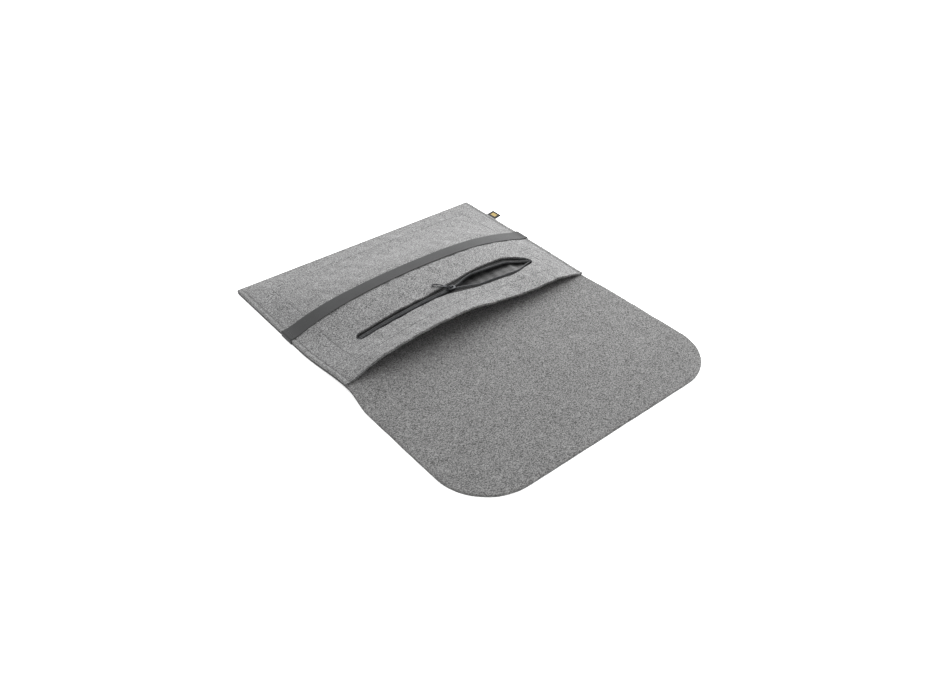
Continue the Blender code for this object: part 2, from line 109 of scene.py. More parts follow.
STRAP_Y = 0.0
STRAP_WIDTH = 0.021
SIDE_SEAM_X = HALF - 0.0045
POCKET_SEAM_INSET = 0.002
POCKET_SEAM_X = POCKET_HALF - POCKET_SEAM_INSET
POCKET_SEAM_NEAR = POCKET_NEAR_Y + POCKET_SEAM_INSET
POCKET_SEAM_FAR = POCKET_FAR_Y - POCKET_SEAM_INSET
TAG_Y = MOUTH_Y + 0.185
TAG_LENGTH = 0.014
TAG_WIDTH = 0.0165
TAG_CURL = 0.0018

# The arches of the front panel's top, each a list of (share of the half width, height),
# and where the last two stand. The first two stand at the mouth and under the strap.
REAR_ARCH_Y = MOUTH_Y + 0.190
HEM_ARCH_Y = MOUTH_Y + 0.214
MOUTH_ARCH = [
    (-1.0, SEAM_TOP), (-0.97, 0.0068), (-0.93, 0.0090), (-0.80, 0.0195), (-0.68, 0.0268),
    (-0.50, 0.0322), (-0.27, 0.0350), (-0.01, 0.0332), (0.20, 0.0262), (0.43, 0.0202),
    (0.74, 0.0170), (0.93, 0.0095), (0.97, 0.0068), (1.0, SEAM_TOP),
]
STRAP_ARCH = [
    (-1.0, SEAM_TOP), (-0.97, 0.0068), (-0.85, 0.0130), (-0.72, 0.0188), (-0.56, 0.0234),
    (-0.28, 0.0275), (0.0, 0.0288), (0.28, 0.0279), (0.52, 0.0245), (0.72, 0.0182),
    (0.85, 0.0125), (0.97, 0.0068), (1.0, SEAM_TOP),
]
REAR_ARCH = [
    (-1.0, SEAM_TOP), (-0.97, 0.0066), (-0.84, 0.0096), (-0.56, 0.0128), (0.0, 0.0138),
    (0.56, 0.0128), (0.84, 0.0096), (0.97, 0.0066), (1.0, SEAM_TOP),
]
HEM_ARCH = [
    (-1.0, SEAM_TOP), (-0.97, 0.0065), (-0.84, 0.0082), (0.0, 0.0094), (0.84, 0.0082),
    (0.97, 0.0065), (1.0, SEAM_TOP),
]


# ---- shape rules --------------------------------------------------------------
def smoothstep(value):
    """0 below 0, 1 above 1, and a smooth rise between them."""
    value = np.clip(value, 0.0, 1.0)
    return value * value * (3 - 2 * value)


def mix(first, second, share):
    """The value that lies a share of the way from the first to the second."""
    return first + (second - first) * share


def curve_through(places, values, at):
    """Height at each place on a smooth curve that never overshoots the values it passes through."""
    places = np.asarray(places, float)
    at = np.clip(np.asarray(at, float), places[0], places[-1])
    values = np.stack([np.broadcast_to(value, at.shape) for value in values])
    spans = np.diff(places)
    steps = np.diff(values, axis=0) / spans.reshape(-1, *[1] * at.ndim)
    before, after = steps[:-1], steps[1:]
    same_way = before * after > 0
    inner = np.where(same_way, 2 * before * after / np.where(same_way, before + after, 1.0), 0.0)
    slopes = np.concatenate([steps[:1], inner, steps[-1:]])
    index = np.clip(np.searchsorted(places, at, side="right") - 1, 0, len(spans) - 1)

    def pick(table, ahead=0):
        return np.take_along_axis(table, (index + ahead)[None], axis=0)[0]

    t = (at - places[index]) / spans[index]
    return (
        pick(values) * (1 + 2 * t) * (1 - t) ** 2
        + pick(values, 1) * t * t * (3 - 2 * t)
        + spans[index] * t * (1 - t) * (pick(slopes) * (1 - t) - pick(slopes, 1) * t)
    )


def arch(points, share):
    """Height of an arch at each share of the half width."""
    return curve_through([p[0] for p in points], [p[1] for p in points], share)


def zip_arc_height(x):
    """Height of the felt's top along the zip, where the slider runs."""
    return ZIP_TOP - ZIP_RADIUS + np.sqrt(ZIP_RADIUS**2 - (x - ZIP_MIDDLE_X) ** 2)


def zip_line_height(x):
    """The zip's arc, running down to the side seams beyond its ends."""
    reach = ZIP_HALF_LENGTH + ZIP_RUN_OUT
    near = np.clip(x, ZIP_MIDDLE_X - reach, ZIP_MIDDLE_X + reach)
    height = zip_arc_height(near)
    for side in (-1.0, 1.0):
        edge = ZIP_MIDDLE_X + side * reach
        inner = edge - side * ZIP_RUN_DOWN
        places = [0.0, ZIP_RUN_DOWN, abs(side * (HALF - BORDER) - inner), abs(side * HALF - inner)]
        heights = [zip_arc_height(inner), zip_arc_height(edge), BORDER_TOP, SEAM_TOP]
        beyond = curve_through(places, heights, side * (x - inner))
        height = np.where(side * (x - edge) > 0, beyond, height)
    return height


def panel_top(x, y):
    """Height of the front panel's upper face, as in the CAD model."""
    x, y = np.broadcast_arrays(np.asarray(x, float), np.asarray(y, float))
    share = x / HALF
    places = [MOUTH_Y, ZIP_Y, STRAP_Y, REAR_ARCH_Y, HEM_ARCH_Y, END_Y - BORDER, END_Y]
    values = [
        arch(MOUTH_ARCH, share),
        zip_line_height(x),
        arch(STRAP_ARCH, share),
        arch(REAR_ARCH, share),
        arch(HEM_ARCH, share),
        SEAM_TOP + BORDER_RISE,
        SEAM_TOP,
    ]
    return curve_through(places, values, y)


def waves(seed, count, shortest, longest):
    """Directions, lengths and phases of the shallow waves in a cloth that has been handled."""
    random = np.random.default_rng(seed)
    lengths = np.exp(random.uniform(math.log(shortest), math.log(longest), count))
    angles = random.uniform(0, math.pi, count)
    numbers = 2 * math.pi / lengths
    return numbers * np.cos(angles), numbers * np.sin(angles), random.uniform(0, 2 * math.pi, count)


# The waves, and how far from the felt's sides they have their full height.
FELT_WAVES = waves(11, 14, 0.018, 0.070)
FELT_WAVE_HEIGHT = 0.00011
FELT_CALM = 0.030
FLAP_WAVE_HEIGHT = 0.6 * FELT_WAVE_HEIGHT
FLAP_CALM_Y = FOLD_Y - 0.010
LINING_WAVES = waves(5, 9, 0.012, 0.050)
LINING_WAVE_HEIGHT = 0.00030


def ripple(x, y, table, height):
    """Sum of the shallow waves, all of the same height."""
    total = np.zeros(np.broadcast(x, y).shape)
    for across, along, phase in zip(*table):
        total += np.sin(across * x + along * y + phase)
    return total * height


# Depth and width of the grooves that the seams pull into the felt, and how fast they end.
SIDE_GROOVE = 0.0006, 0.0009
POCKET_GROOVE = 0.00030, 0.0008
GROOVE_END = 0.001
HEM = 0.010


def groove(distance, depth, width):
    """Depth at a distance from the middle of a rounded groove."""
    return depth * np.exp(-((distance / width) ** 2))


def felt_top(x, y):
    """The front panel's upper face with its shallow waves, and the seams that pull it in."""
    x, y = np.broadcast_arrays(np.asarray(x, float), np.asarray(y, float))
    near, far = y - POCKET_SEAM_NEAR, y - POCKET_SEAM_FAR
    beside = np.abs(x) - POCKET_SEAM_X
    inside = smoothstep((HALF - np.abs(x)) / FELT_CALM)
    height = panel_top(x, y) + ripple(x, y, FELT_WAVES, FELT_WAVE_HEIGHT) * inside
    height = height - groove(SIDE_SEAM_X - np.abs(x), *SIDE_GROOVE)
    within_y = smoothstep(near / GROOVE_END + 1) * smoothstep(-far / GROOVE_END + 1)
    within_x = smoothstep(-beside / GROOVE_END + 1)
    height = height - within_y * groove(beside, *POCKET_GROOVE)
    height = height - within_x * (groove(near, *POCKET_GROOVE) + groove(far, *POCKET_GROOVE))
    flat = smoothstep((y - (END_Y - HEM)) / (HEM - FOLD_RADIUS))
    return mix(height, SEAM_TOP, flat)


def zip_gap(x):
    """Half of the gap between the zip's two sides."""
    opening = smoothstep((x - SLIDER_X) / OPEN_RAMP_LEFT)
    closing = smoothstep((OPEN_END_X - x) / OPEN_RAMP_RIGHT)
    return OPEN_HALF * np.minimum(opening, closing)


def lip_offset(x, side):
    """Distance from the zip's line to the felt's lip, which starts to bow before the slider."""
    start, first_ramp, end, last_ramp = LIP_BOWS[side]
    opening = smoothstep((x - start) / first_ramp)
    closing = smoothstep((end - x) / last_ramp)
    return SLOT_HALF + LIP_HALF * np.minimum(opening, closing)


def slot_half(x, side):
    """Half width of the slot in the front panel on one side of the zip, with its rounded ends."""
    from_end = np.clip(np.minimum(x - SLOT_LEFT, SLOT_RIGHT - x), 0.0, SLOT_HALF)
    rounded = np.sqrt(np.maximum(0.0, SLOT_HALF**2 - (SLOT_HALF - from_end) ** 2)) / SLOT_HALF
    return lip_offset(x, side) * rounded


# Distances from the lining's sewn edge over which it leaves the felt, sinks and creases.
LINING_PART = 0.012
LINING_SINK = 0.030
CREASE_START = 0.006
CREASE_GROW = 0.020


def lining_top(x, y):
    """Height of the pocket lining's upper face: it meets the felt at its sewn edge."""
    inset = np.minimum(POCKET_HALF - np.abs(x), np.minimum(y - POCKET_NEAR_Y, POCKET_FAR_Y - y))
    under_felt = panel_top(x, y) - FELT - 2 * GAP
    spare = np.maximum(0.0, under_felt - POCKET_CLEARANCE - LINING_LEVEL)
    creases = ripple(x, y, LINING_WAVES, LINING_WAVE_HEIGHT)
    return (
        under_felt
        - POCKET_CLEARANCE * smoothstep(inset / LINING_PART)
        - spare * smoothstep(inset / LINING_SINK)
        + creases * smoothstep((inset - CREASE_START) / CREASE_GROW)
    )


def coil_level(x):
    """Height of the zip teeth's middle, inside the slot."""
    return zip_arc_height(x) - FELT - GAP + COIL_RADIUS


# The side of each of the mouth's corners, and how far it is drawn in and up by the bulge.
MOUTH_CORNERS = [(-1.0, 0.0030, 0.0060), (1.0, 0.0040, 0.0018)]
CORNER_REACH_X = 0.085
CORNER_REACH_BACK = 0.090
CORNER_REACH_FRONT = 0.040


def settle(points):
    """Draws the mouth's corners in and up, the same for every layer of felt there."""
    moved = np.array(points, float)
    x, y = moved[..., 0].copy(), moved[..., 1]
    from_mouth = y - MOUTH_Y
    reach = np.where(from_mouth > 0, CORNER_REACH_BACK, CORNER_REACH_FRONT)
    along = smoothstep(1 - np.abs(from_mouth) / reach)
    for side, pull, lift in MOUTH_CORNERS:
        share = along * smoothstep(1 - (HALF - side * x) / CORNER_REACH_X)
        moved[..., 0] -= side * pull * share
        moved[..., 2] += lift * share
    return moved


# ---- mesh helpers ---------------------------------------------------------------
def unit(vectors):
    return vectors / np.maximum(np.linalg.norm(vectors, axis=-1, keepdims=True), 1e-12)


def grid(*axes):
    """Points from their separate x, y and z, or UVs from their two places."""
    return np.stack(np.broadcast_arrays(*axes), -1)


def travel_along(points):
    """The distance covered at each point of a line."""
    return np.concatenate([[0.0], np.cumsum(np.linalg.norm(np.diff(points, axis=0), axis=1))])


# Distances from a fine place at which a grid has points, and that it keeps clear of others.
FINE_PLACES = (0.0, 0.00035, 0.0007, 0.0011, 0.0017)
FINE_CLEAR = 0.0024


def stations(start, end, step, fine=()):
    """Places from start to end, closer together around the fine ones."""
    base = np.linspace(start, end, max(2, round(abs(end - start) / step) + 1))
    inner = [p for p in base[1:-1] if all(abs(p - f) > FINE_CLEAR for f in fine)]
    extra = {f + side * d for f in fine for d in FINE_PLACES for side in (-1, 1)}
    return np.array(sorted([start, end, *inner, *(p for p in extra if start < p < end)]))


def linked(name, data):
    """A new object in the scene that holds the given data."""
    item = bpy.data.objects.new(name, data)
    bpy.context.scene.collection.objects.link(item)
    return item


def smooth_object(name, mesh, material, crease):
    """An object of one material, shaded smooth but for edges sharper than crease degrees."""
    mesh.materials.clear()
    mesh.materials.append(material)
    mesh.shade_smooth()
    mesh.set_sharp_from_angle(angle=math.radians(crease))
    return linked(name, mesh)


def make_object(name, points, faces, material, uv=None, cut=None):
    """A mesh object in the row frame.

    cut is how far each point lies on a cut edge, which the felt's material darkens with its own tone and
    painted shade.
    """
    mesh = bpy.data.meshes.new(name)
    mesh.from_pydata([tuple(p) for p in points], [], [tuple(f) for f in faces])
    if cut is not None:
        mesh.attributes.new("cut", "FLOAT", "POINT").data.foreach_set("value", cut.astype(np.float32))
    if uv is not None:
        layer = mesh.uv_layers.new(name="Weave")
        corners = np.empty(len(mesh.loops), np.int32)
        mesh.loops.foreach_get("vertex_index", corners)
        layer.data.foreach_set("uv", np.asarray(uv, np.float32)[corners].ravel())
    return smooth_object(name, mesh, material, 50)


def rim_directions(loop, normals, joined):
    """Which way is outward at each point of a sheet's rim, with no way out over a joined side."""
    after = np.roll(loop, -1, axis=0) - loop
    out = unit(np.cross(after, normals))
    out[joined] = 0.0
    before_out, before = np.roll(out, 1, axis=0), np.roll(after, 1, axis=0)
    before_joined = np.roll(joined, 1)
    total = before_out + out
    total /= 1 + np.sum(before_out * out, axis=-1, keepdims=True)
    for i in np.nonzero(joined != before_joined)[0]:
        side = unit(after[i] if joined[i] else before[i])
        free = before_out[i] if joined[i] else out[i]
        total[i] = side / (side @ free) if abs(side @ free) > 0.3 else free
    total[joined & before_joined] = 0.0
    return total


# How far the rows of points round a rim lie on its cut edge, from the face outward.
EDGE_SHARES = (0.0, 0.50, 1.0)


def thick_sheet(name, top, thickness, material, joined=None, rounding=0.0007, normals=None, uv=None,
                finish=None, cut=0.0):
    """A closed sheet below the grid of points top, whose cut edges are rounded.

    joined(middles) says which stretches of its rim meet another piece, and so stay square.
    cut is how strongly the cut edges are darkened, with their own tone and painted shade, as a number or
    a function of the points.
    """
    rows, columns = top.shape[:2]
    if normals is None:
        normals = unit(np.cross(np.gradient(top, axis=1), np.gradient(top, axis=0)))
    index = np.arange(rows * columns).reshape(rows, columns)
    ring = np.concatenate([index[0, :-1], index[:-1, -1], index[-1, :0:-1], index[:0:-1, 0]])
    flat_top = top.reshape(-1, 3).copy()
    flat_normals = normals.reshape(-1, 3)
    loop, loop_normals = flat_top[ring], flat_normals[ring]
    middles = (loop + np.roll(loop, -1, axis=0)) / 2
    closed = np.zeros(len(ring), bool) if joined is None else joined(middles)
    out = rim_directions(loop, loop_normals, closed)
    flat_top[ring] -= out * rounding
    bottom = flat_top - flat_normals * thickness
    layers = [flat_top, bottom]
    for face, sense in ((flat_top, -1), (bottom, 1)):
        for step in (30, 60, 90):
            angle = math.radians(step)
            sideways = out * rounding * math.sin(angle)
            down = sense * loop_normals * rounding * (1 - math.cos(angle))
            layers.append(face[ring] + sideways + down)
    points = np.concatenate(layers)
    count = rows * columns
    quads = np.stack([index[:-1, :-1], index[:-1, 1:], index[1:, 1:], index[1:, :-1]], -1).reshape(-1, 4)
    first = 2 * count + np.arange(6).reshape(-1, 1) * len(ring) + np.arange(len(ring))
    order = [ring, first[0], first[1], first[2], first[5], first[4], first[3], ring + count]
    faces = [quads, quads[:, ::-1] + count]
    for upper, lower in zip(order, order[1:]):
        next_upper, next_lower = np.roll(upper, -1), np.roll(lower, -1)
        faces.append(np.stack([upper, lower, next_lower, next_upper], -1))
    faces = np.concatenate(faces)
    all_uv = None
    if uv is not None:
        flat_uv = uv.reshape(-1, 2)
        all_uv = np.concatenate([flat_uv, flat_uv] + [flat_uv[ring]] * 6)
    if finish is not None:
        points = finish(points)
    # The rim's rows carry the edge darkening: the cut felt's own tone and painted shade.
    on_edge = np.concatenate([np.zeros(2 * count)] + [np.full(len(ring), s) for s in EDGE_SHARES * 2])
    strength = cut(points) if callable(cut) else cut
    return make_object(name, points, faces, material, all_uv, strength * on_edge)


def tubes(name, paths, ups, radii, sides, material):
    """Round closed tubes along paths, an array of (tube, station, 3); radii is per station."""
    count, length = paths.shape[:2]
    tangents = unit(np.gradient(paths, axis=1))
    across = unit(np.cross(tangents, ups))
    rise = np.cross(across, tangents)
    angles = np.linspace(0, 2 * math.pi, sides, endpoint=False)
    radii = np.broadcast_to(radii, (count, length))
    circle = (
        np.cos(angles)[:, None] * across[:, :, None, :] + np.sin(angles)[:, None] * rise[:, :, None, :]
    )
    points = paths[:, :, None, :] + circle * radii[:, :, None, None]
    index = np.arange(count * length * sides).reshape(count, length, sides)
    turned = np.roll(index, -1, axis=2)
    walls = np.stack([index[:, :-1], turned[:, :-1], turned[:, 1:], index[:, 1:]], -1).reshape(-1, 4)
    caps = [tuple(row[::-1]) for row in index[:, 0]] + [tuple(row) for row in index[:, -1]]
    return make_object(name, points.reshape(-1, 3), [tuple(q) for q in walls] + caps, material)


STITCH_PITCH = 0.0033
STITCH_LENGTH = 0.0025


def stitch_row(name, points, normals, material, radius, finish=None):
    """Separate stitches along a line on the cloth, each going down into it at both ends."""
    travel = travel_along(points)
    count = int(travel[-1] / STITCH_PITCH)
    margin = travel[-1] - count * STITCH_PITCH + STITCH_PITCH - STITCH_LENGTH
    share = np.linspace(0, 1, 7)
    at = (margin / 2 + np.arange(count) * STITCH_PITCH)[:, None] + share * STITCH_LENGTH
    paths = np.stack([np.interp(at, travel, points[:, axis]) for axis in range(3)], -1)
    ups = unit(np.stack([np.interp(at, travel, normals[:, axis]) for axis in range(3)], -1))
    bow = 1 - (2 * share - 1) ** 4
    paths = paths + ups * (radius * (1.6 * bow - 0.9))[None, :, None]
    radii = radius * (0.45 + 0.55 * np.sqrt(bow))
    if finish is not None:
        paths = finish(paths)
    return tubes(name, paths, ups, radii, 8, material)


def evaluated_mesh(item):
    bpy.context.view_layer.update()
    graph = bpy.context.evaluated_depsgraph_get()
    return bpy.data.meshes.new_from_object(item.evaluated_get(graph), depsgraph=graph)


def mesh_of(shape, name):
    """The mesh of a bmesh, which is used up."""
    mesh = bpy.data.meshes.new(name)
    shape.to_mesh(mesh)
    shape.free()
    return mesh


def bevelled(shape, rounding, segments):
    """The mesh of a bmesh solid with its edges rounded."""
    bmesh.ops.recalc_face_normals(shape, faces=shape.faces)
    item = linked("blank", mesh_of(shape, "blank"))
    bevel = item.modifiers.new("Bevel", "BEVEL")
    bevel.width = rounding
    bevel.segments = segments
    bevel.limit_method = "ANGLE"
    bevel.angle_limit = math.radians(50)
    result = evaluated_mesh(item)
    bpy.data.objects.remove(item, do_unlink=True)
    return result


def prism(outline, low, high, rounding, segments=2):
    """A flat plate with the given outline, its edges rounded, as a mesh."""
    shape = bmesh.new()
    face = shape.faces.new([shape.verts.new((x, y, low)) for x, y in outline])
    raised = bmesh.ops.extrude_face_region(shape, geom=[face])["geom"]
    for vertex in (g for g in raised if isinstance(g, bmesh.types.BMVert)):
        vertex.co.z = high
    return bevelled(shape, rounding, segments)


def ring_between(outer, inner, low, high, rounding):
    """A flat ring between two outlines with the same number of points, as a mesh."""
    shape = bmesh.new()
    loops = [
        [shape.verts.new((x, y, z)) for x, y in outline]
        for outline, z in ((outer, low), (outer, high), (inner, high), (inner, low))
    ]
    for first, second in zip(loops, loops[1:] + loops[:1]):
        for i in range(len(outer)):
            j = (i + 1) % len(outer)
            shape.faces.new((first[i], first[j], second[j], second[i]))
    return bevelled(shape, rounding, 3)


def join_meshes(name, meshes, material, place=Matrix.Identity(4)):
    """One object that holds all the meshes, moved to its place."""
    shape = bmesh.new()
    for mesh in meshes:
        shape.from_mesh(mesh)
    bmesh.ops.transform(shape, matrix=place, verts=shape.verts)
    return smooth_object(name, mesh_of(shape, name), material, 35)


def arc(centre, radius, start, end, count):
    """Points on an arc, in degrees."""
    turn = np.radians(np.linspace(start, end, count))
    return [(centre[0] + radius * math.cos(a), centre[1] + radius * math.sin(a)) for a in turn]


# ---- materials --------------------------------------------------------------------
class Nodes:
    """Short calls for building one material's node tree."""

    def __init__(self, name):
        self.material = bpy.data.materials.new(name)
        self.material.use_nodes = True
        self.tree = self.material.node_tree
        self.shader = self.tree.nodes["Principled BSDF"]

    def add(self, kind, inputs=(), **settings):
        node = self.tree.nodes.new(kind)
        for key, value in settings.items():
            setattr(node, key, value)
        for key, value in dict(inputs).items():
            self.put(node.inputs[key], value)
        return node

    def put(self, socket, value):
        if isinstance(value, bpy.types.NodeSocket):
            self.tree.links.new(value, socket)
        else:
            socket.default_value = value

    def place(self):
        return self.add("ShaderNodeTexCoord").outputs["Object"]

    def weave_places(self):
        """Places along and across a woven piece, from its UV map."""
        uv = self.add("ShaderNodeUVMap", uv_map="Weave").outputs[0]
        return self.add("ShaderNodeSeparateXYZ", {0: uv}).outputs[:2]

    def math(self, operation, first, second=0.0):
        return self.add("ShaderNodeMath", {0: first, 1: second}, operation=operation).outputs[0]

    def threads(self, value, pitch=1.0):
        """Round threads side by side, from 0 between them to 1 on their crowns."""
        return self.math("ABSOLUTE", self.math("SINE", self.math("MULTIPLY", value, math.pi / pitch)))

    def times(self, vector, scale):
        node = self.add("ShaderNodeVectorMath", {0: vector, "Scale": scale}, operation="SCALE")
        return node.outputs[0]

    def scaled(self, vector, scale, turn=(0.0, 0.0, 0.0)):
        node = self.add("ShaderNodeMapping", {"Vector": vector, "Scale": scale, "Rotation": turn})
        return node.outputs[0]

    def noise(self, vector, scale, detail=2.0, roughness=0.5, distortion=0.0, output="Fac"):
        inputs = {
            "Vector": vector, "Scale": scale, "Detail": detail, "Roughness": roughness,
            "Distortion": distortion,
        }
        return self.add("ShaderNodeTexNoise", inputs).outputs[output]

    def ramp(self, value, low, high, first=0.0, second=1.0):
        inputs = {
            "Value": value, "From Min": low, "From Max": high, "To Min": first, "To Max": second,
        }
        return self.add("ShaderNodeMapRange", inputs, clamp=True).outputs[0]

    def blend(self, share, first, second):
        node = self.add("ShaderNodeMix", data_type="RGBA")
        self.put(node.inputs[0], share)
        self.put(node.inputs[6], first)
        self.put(node.inputs[7], second)
        return node.outputs[2]

    def bump(self, height, strength, distance, below=None):
        inputs = {"Height": height, "Strength": strength, "Distance": distance}
        if below is not None:
            inputs["Normal"] = below
        return self.add("ShaderNodeBump", inputs).outputs[0]

    def finish(self, **values):
        """Set the shader's sockets and hand over the material."""
        for key, value in values.items():
            self.put(self.shader.inputs[key.replace("_", " ").title().replace("Ior", "IOR")], value)
        return self.material


def grey(value, warmth=0.0):
    return (value * (1 + warmth), value, value * (1 - warmth), 1.0)


# How dark a cut edge is against the face (its own tone and painted shade), and how much of that each
# piece's edges show.
CUT_EDGE_TONE_AND_SHADE = 0.30
ROLLED_SIDE_CUT_AND_SHADE = 0.12
MOUTH_CUT_AND_SHADE = 0.5
FLAP_CUT_AND_SHADE = 0.38
BACK_CUT_AND_SHADE = 1.0


def felt_material(name, tone, warmth):
    """Melange wool felt: pale and dark fibres matted together, with soft tufts."""
    n = Nodes(name)
    place = n.place()
    wander = n.noise(place, 260.0, output="Color")
    offset = n.add(
        "ShaderNodeVectorMath", {0: wander, 1: (0.5, 0.5, 0.5)}, operation="SUBTRACT"
    ).outputs[0]
    bent = n.add(
        "ShaderNodeVectorMath", {0: place, 1: n.times(offset, 0.0030)}, operation="ADD"
    ).outputs[0]
    strands = []
    for turn in (0.3, 1.35, 2.4):
        stretched = n.scaled(bent, (260.0, 2300.0, 1500.0), (0.0, 0.0, turn))
        strands.append(n.noise(stretched, 1.0, 1.0))
    clumps = n.noise(bent, 760.0, 2.5, 0.62)
    tufts = n.noise(place, 120.0, 3.0, 0.6)
    cloudy = n.noise(place, 26.0)

    raised = n.math("MAXIMUM", strands[0], strands[1])
    pale = n.ramp(raised, 0.58, 0.72)
    dark = n.ramp(n.math("MINIMUM", strands[1], strands[2]), 0.44, 0.30)
    melange = n.ramp(clumps, 0.40, 0.60)
    body = n.blend(melange, grey(tone * 0.33, warmth), grey(tone * 1.73, warmth))
    body = n.blend(n.math("MULTIPLY", pale, 0.50), body, grey(tone * 2.1, warmth))
    body = n.blend(n.math("MULTIPLY", dark, 0.62), body, grey(tone * 0.24, warmth))
    # The cut edges are darkened: partly the cut felt's own tone, partly painted shade on the side faces.
    cut = n.add("ShaderNodeAttribute", attribute_name="cut").outputs["Fac"]
    shade = n.math("ADD", n.ramp(tufts, 0.3, 0.7, 0.92, 1.07), n.ramp(cloudy, 0.3, 0.7, -0.03, 0.03))
    shade = n.math("MULTIPLY", shade, n.ramp(cut, 0.0, 1.0, 1.0, CUT_EDGE_TONE_AND_SHADE))

    lumps = n.bump(tufts, 0.35, 0.0011)
    matted = n.bump(clumps, 0.55, 0.00045, lumps)
    hairs = n.math("ADD", raised, strands[2])
    return n.finish(
        base_color=n.times(body, shade), roughness=n.ramp(clumps, 0.2, 0.8, 0.86, 0.98),
        normal=n.bump(hairs, 0.5, 0.00022, matted),
        sheen_weight=0.12, sheen_roughness=0.55, specular_ior_level=0.15,
    )


def woven_material(name, tone, warp, weft, contrast, strength, roughness, sheen=0.0, warmth=0.0):
    """A woven band: warp threads along it and weft threads across it, at their real pitch."""
    n = Nodes(name)
    along, across = n.weave_places()
    cord = n.math("MULTIPLY", across, 1 / warp)
    pick = n.math("MULTIPLY", along, 1 / weft)
    odd = n.math("MULTIPLY", n.math("FRACT", n.math("MULTIPLY", n.math("FLOOR", cord), 0.5)), 2.0)
    crown = n.threads(cord)
    beat = n.threads(n.math("ADD", pick, odd))
    beaten = n.math("ADD", n.math("MULTIPLY", beat, 0.55), 0.45)
    height = n.math("MULTIPLY", n.math("POWER", crown, 0.6), beaten)
    fuzz = n.noise(n.place(), 1400.0)
    patch = n.noise(n.place(), 45.0)
    # The threads' crowns are painted lighter and the hollows between them darker: painted highlight and
    # painted shade, mixed with random fuzz.
    lit = n.math("ADD", n.math("MULTIPLY", height, 0.75), n.math("MULTIPLY", fuzz, 0.25))
    color = n.blend(lit, grey(tone * (1 - contrast), warmth), grey(tone * (1 + contrast), warmth))
    return n.finish(
        base_color=n.times(color, n.ramp(patch, 0.3, 0.7, 0.93, 1.07)),
        roughness=n.ramp(fuzz, 0.2, 0.8, roughness - 0.06, roughness + 0.06),
        normal=n.bump(height, strength, 0.00018, n.bump(fuzz, 0.2, 0.0001)),
        sheen_weight=sheen, sheen_roughness=0.5, specular_ior_level=0.3,
    )


def thread_material(name, tone):
    """Twisted polyester thread."""
    n = Nodes(name)
    place = n.place()
    ply = n.noise(n.scaled(place, (1900.0, 1900.0, 1900.0), (0.6, 0.5, 0.8)), 1.0, 1.0)
    patch = n.noise(place, 90.0)
    return n.finish(
        base_color=n.blend(n.ramp(ply, 0.35, 0.65), grey(tone * 0.62), grey(tone * 1.4)),
        roughness=n.ramp(patch, 0.3, 0.7, 0.55, 0.72), normal=n.bump(ply, 0.6, 0.00015),
        sheen_weight=0.15,
    )


def lining_material():
    """Thin dark polyester taffeta, with soft creases."""
    n = Nodes("lining_taffeta")
    across, along = n.weave_places()
    pitch, tone = 0.0006, 0.028
    place = n.place()
    # The weave is painted lighter on the threads' crowns and darker between them: painted highlight and
    # painted shade, mixed with the slubs' random tone.
    weave = n.math("MULTIPLY", n.threads(across, pitch), n.threads(along, pitch))
    slub = n.noise(n.scaled(place, (60.0, 900.0, 400.0)), 1.0)
    crumple = n.noise(place, 70.0, 3.0, 0.6, 0.6)
    return n.finish(
        base_color=n.blend(n.math("MULTIPLY", weave, slub), grey(tone * 0.6), grey(tone * 1.9)),
        roughness=n.ramp(slub, 0.3, 0.7, 0.50, 0.66),
        normal=n.bump(weave, 0.35, 0.00012, n.bump(crumple, 0.5, 0.0015)),
        sheen_weight=0.2, sheen_roughness=0.4, specular_ior_level=0.35,
    )


def coil_material():
    """Moulded nylon monofilament of the zip's teeth."""
    n = Nodes("zip_teeth_nylon")
    grain = n.noise(n.place(), 700.0)
    patch = n.ramp(n.noise(n.place(), 60.0), 0.3, 0.7)
    return n.finish(
        base_color=n.blend(patch, (0.046, 0.048, 0.051, 1.0), (0.072, 0.075, 0.079, 1.0)),
        roughness=n.ramp(grain, 0.3, 0.7, 0.36, 0.50), normal=n.bump(grain, 0.25, 0.0001),
        specular_ior_level=0.5,
    )


def metal_material():
    """Dark plated zinc, brushed by handling."""
    n = Nodes("gunmetal_plating")
    place = n.place()
    scuffs = n.noise(n.scaled(place, (500.0, 2600.0, 1200.0), (0.0, 0.0, 0.6)), 1.0, 3.0)
    patch = n.noise(place, 330.0, 3.0)
    worn = n.ramp(patch, 0.35, 0.65)
    rough = n.math("ADD", n.ramp(scuffs, 0.3, 0.7, 0.38, 0.52), n.ramp(patch, 0.4, 0.7, 0.0, 0.06))
    return n.finish(
        base_color=n.blend(worn, (0.026, 0.027, 0.029, 1.0), (0.048, 0.049, 0.052, 1.0)),
        roughness=rough, normal=n.bump(scuffs, 0.12, 0.0001), metallic=1.0,
    )


# The label's plain bar: its distance from the fold, from and to, and its half height.
LABEL_BAR = 0.0035, 0.0090
LABEL_BAR_HALF = 0.0044


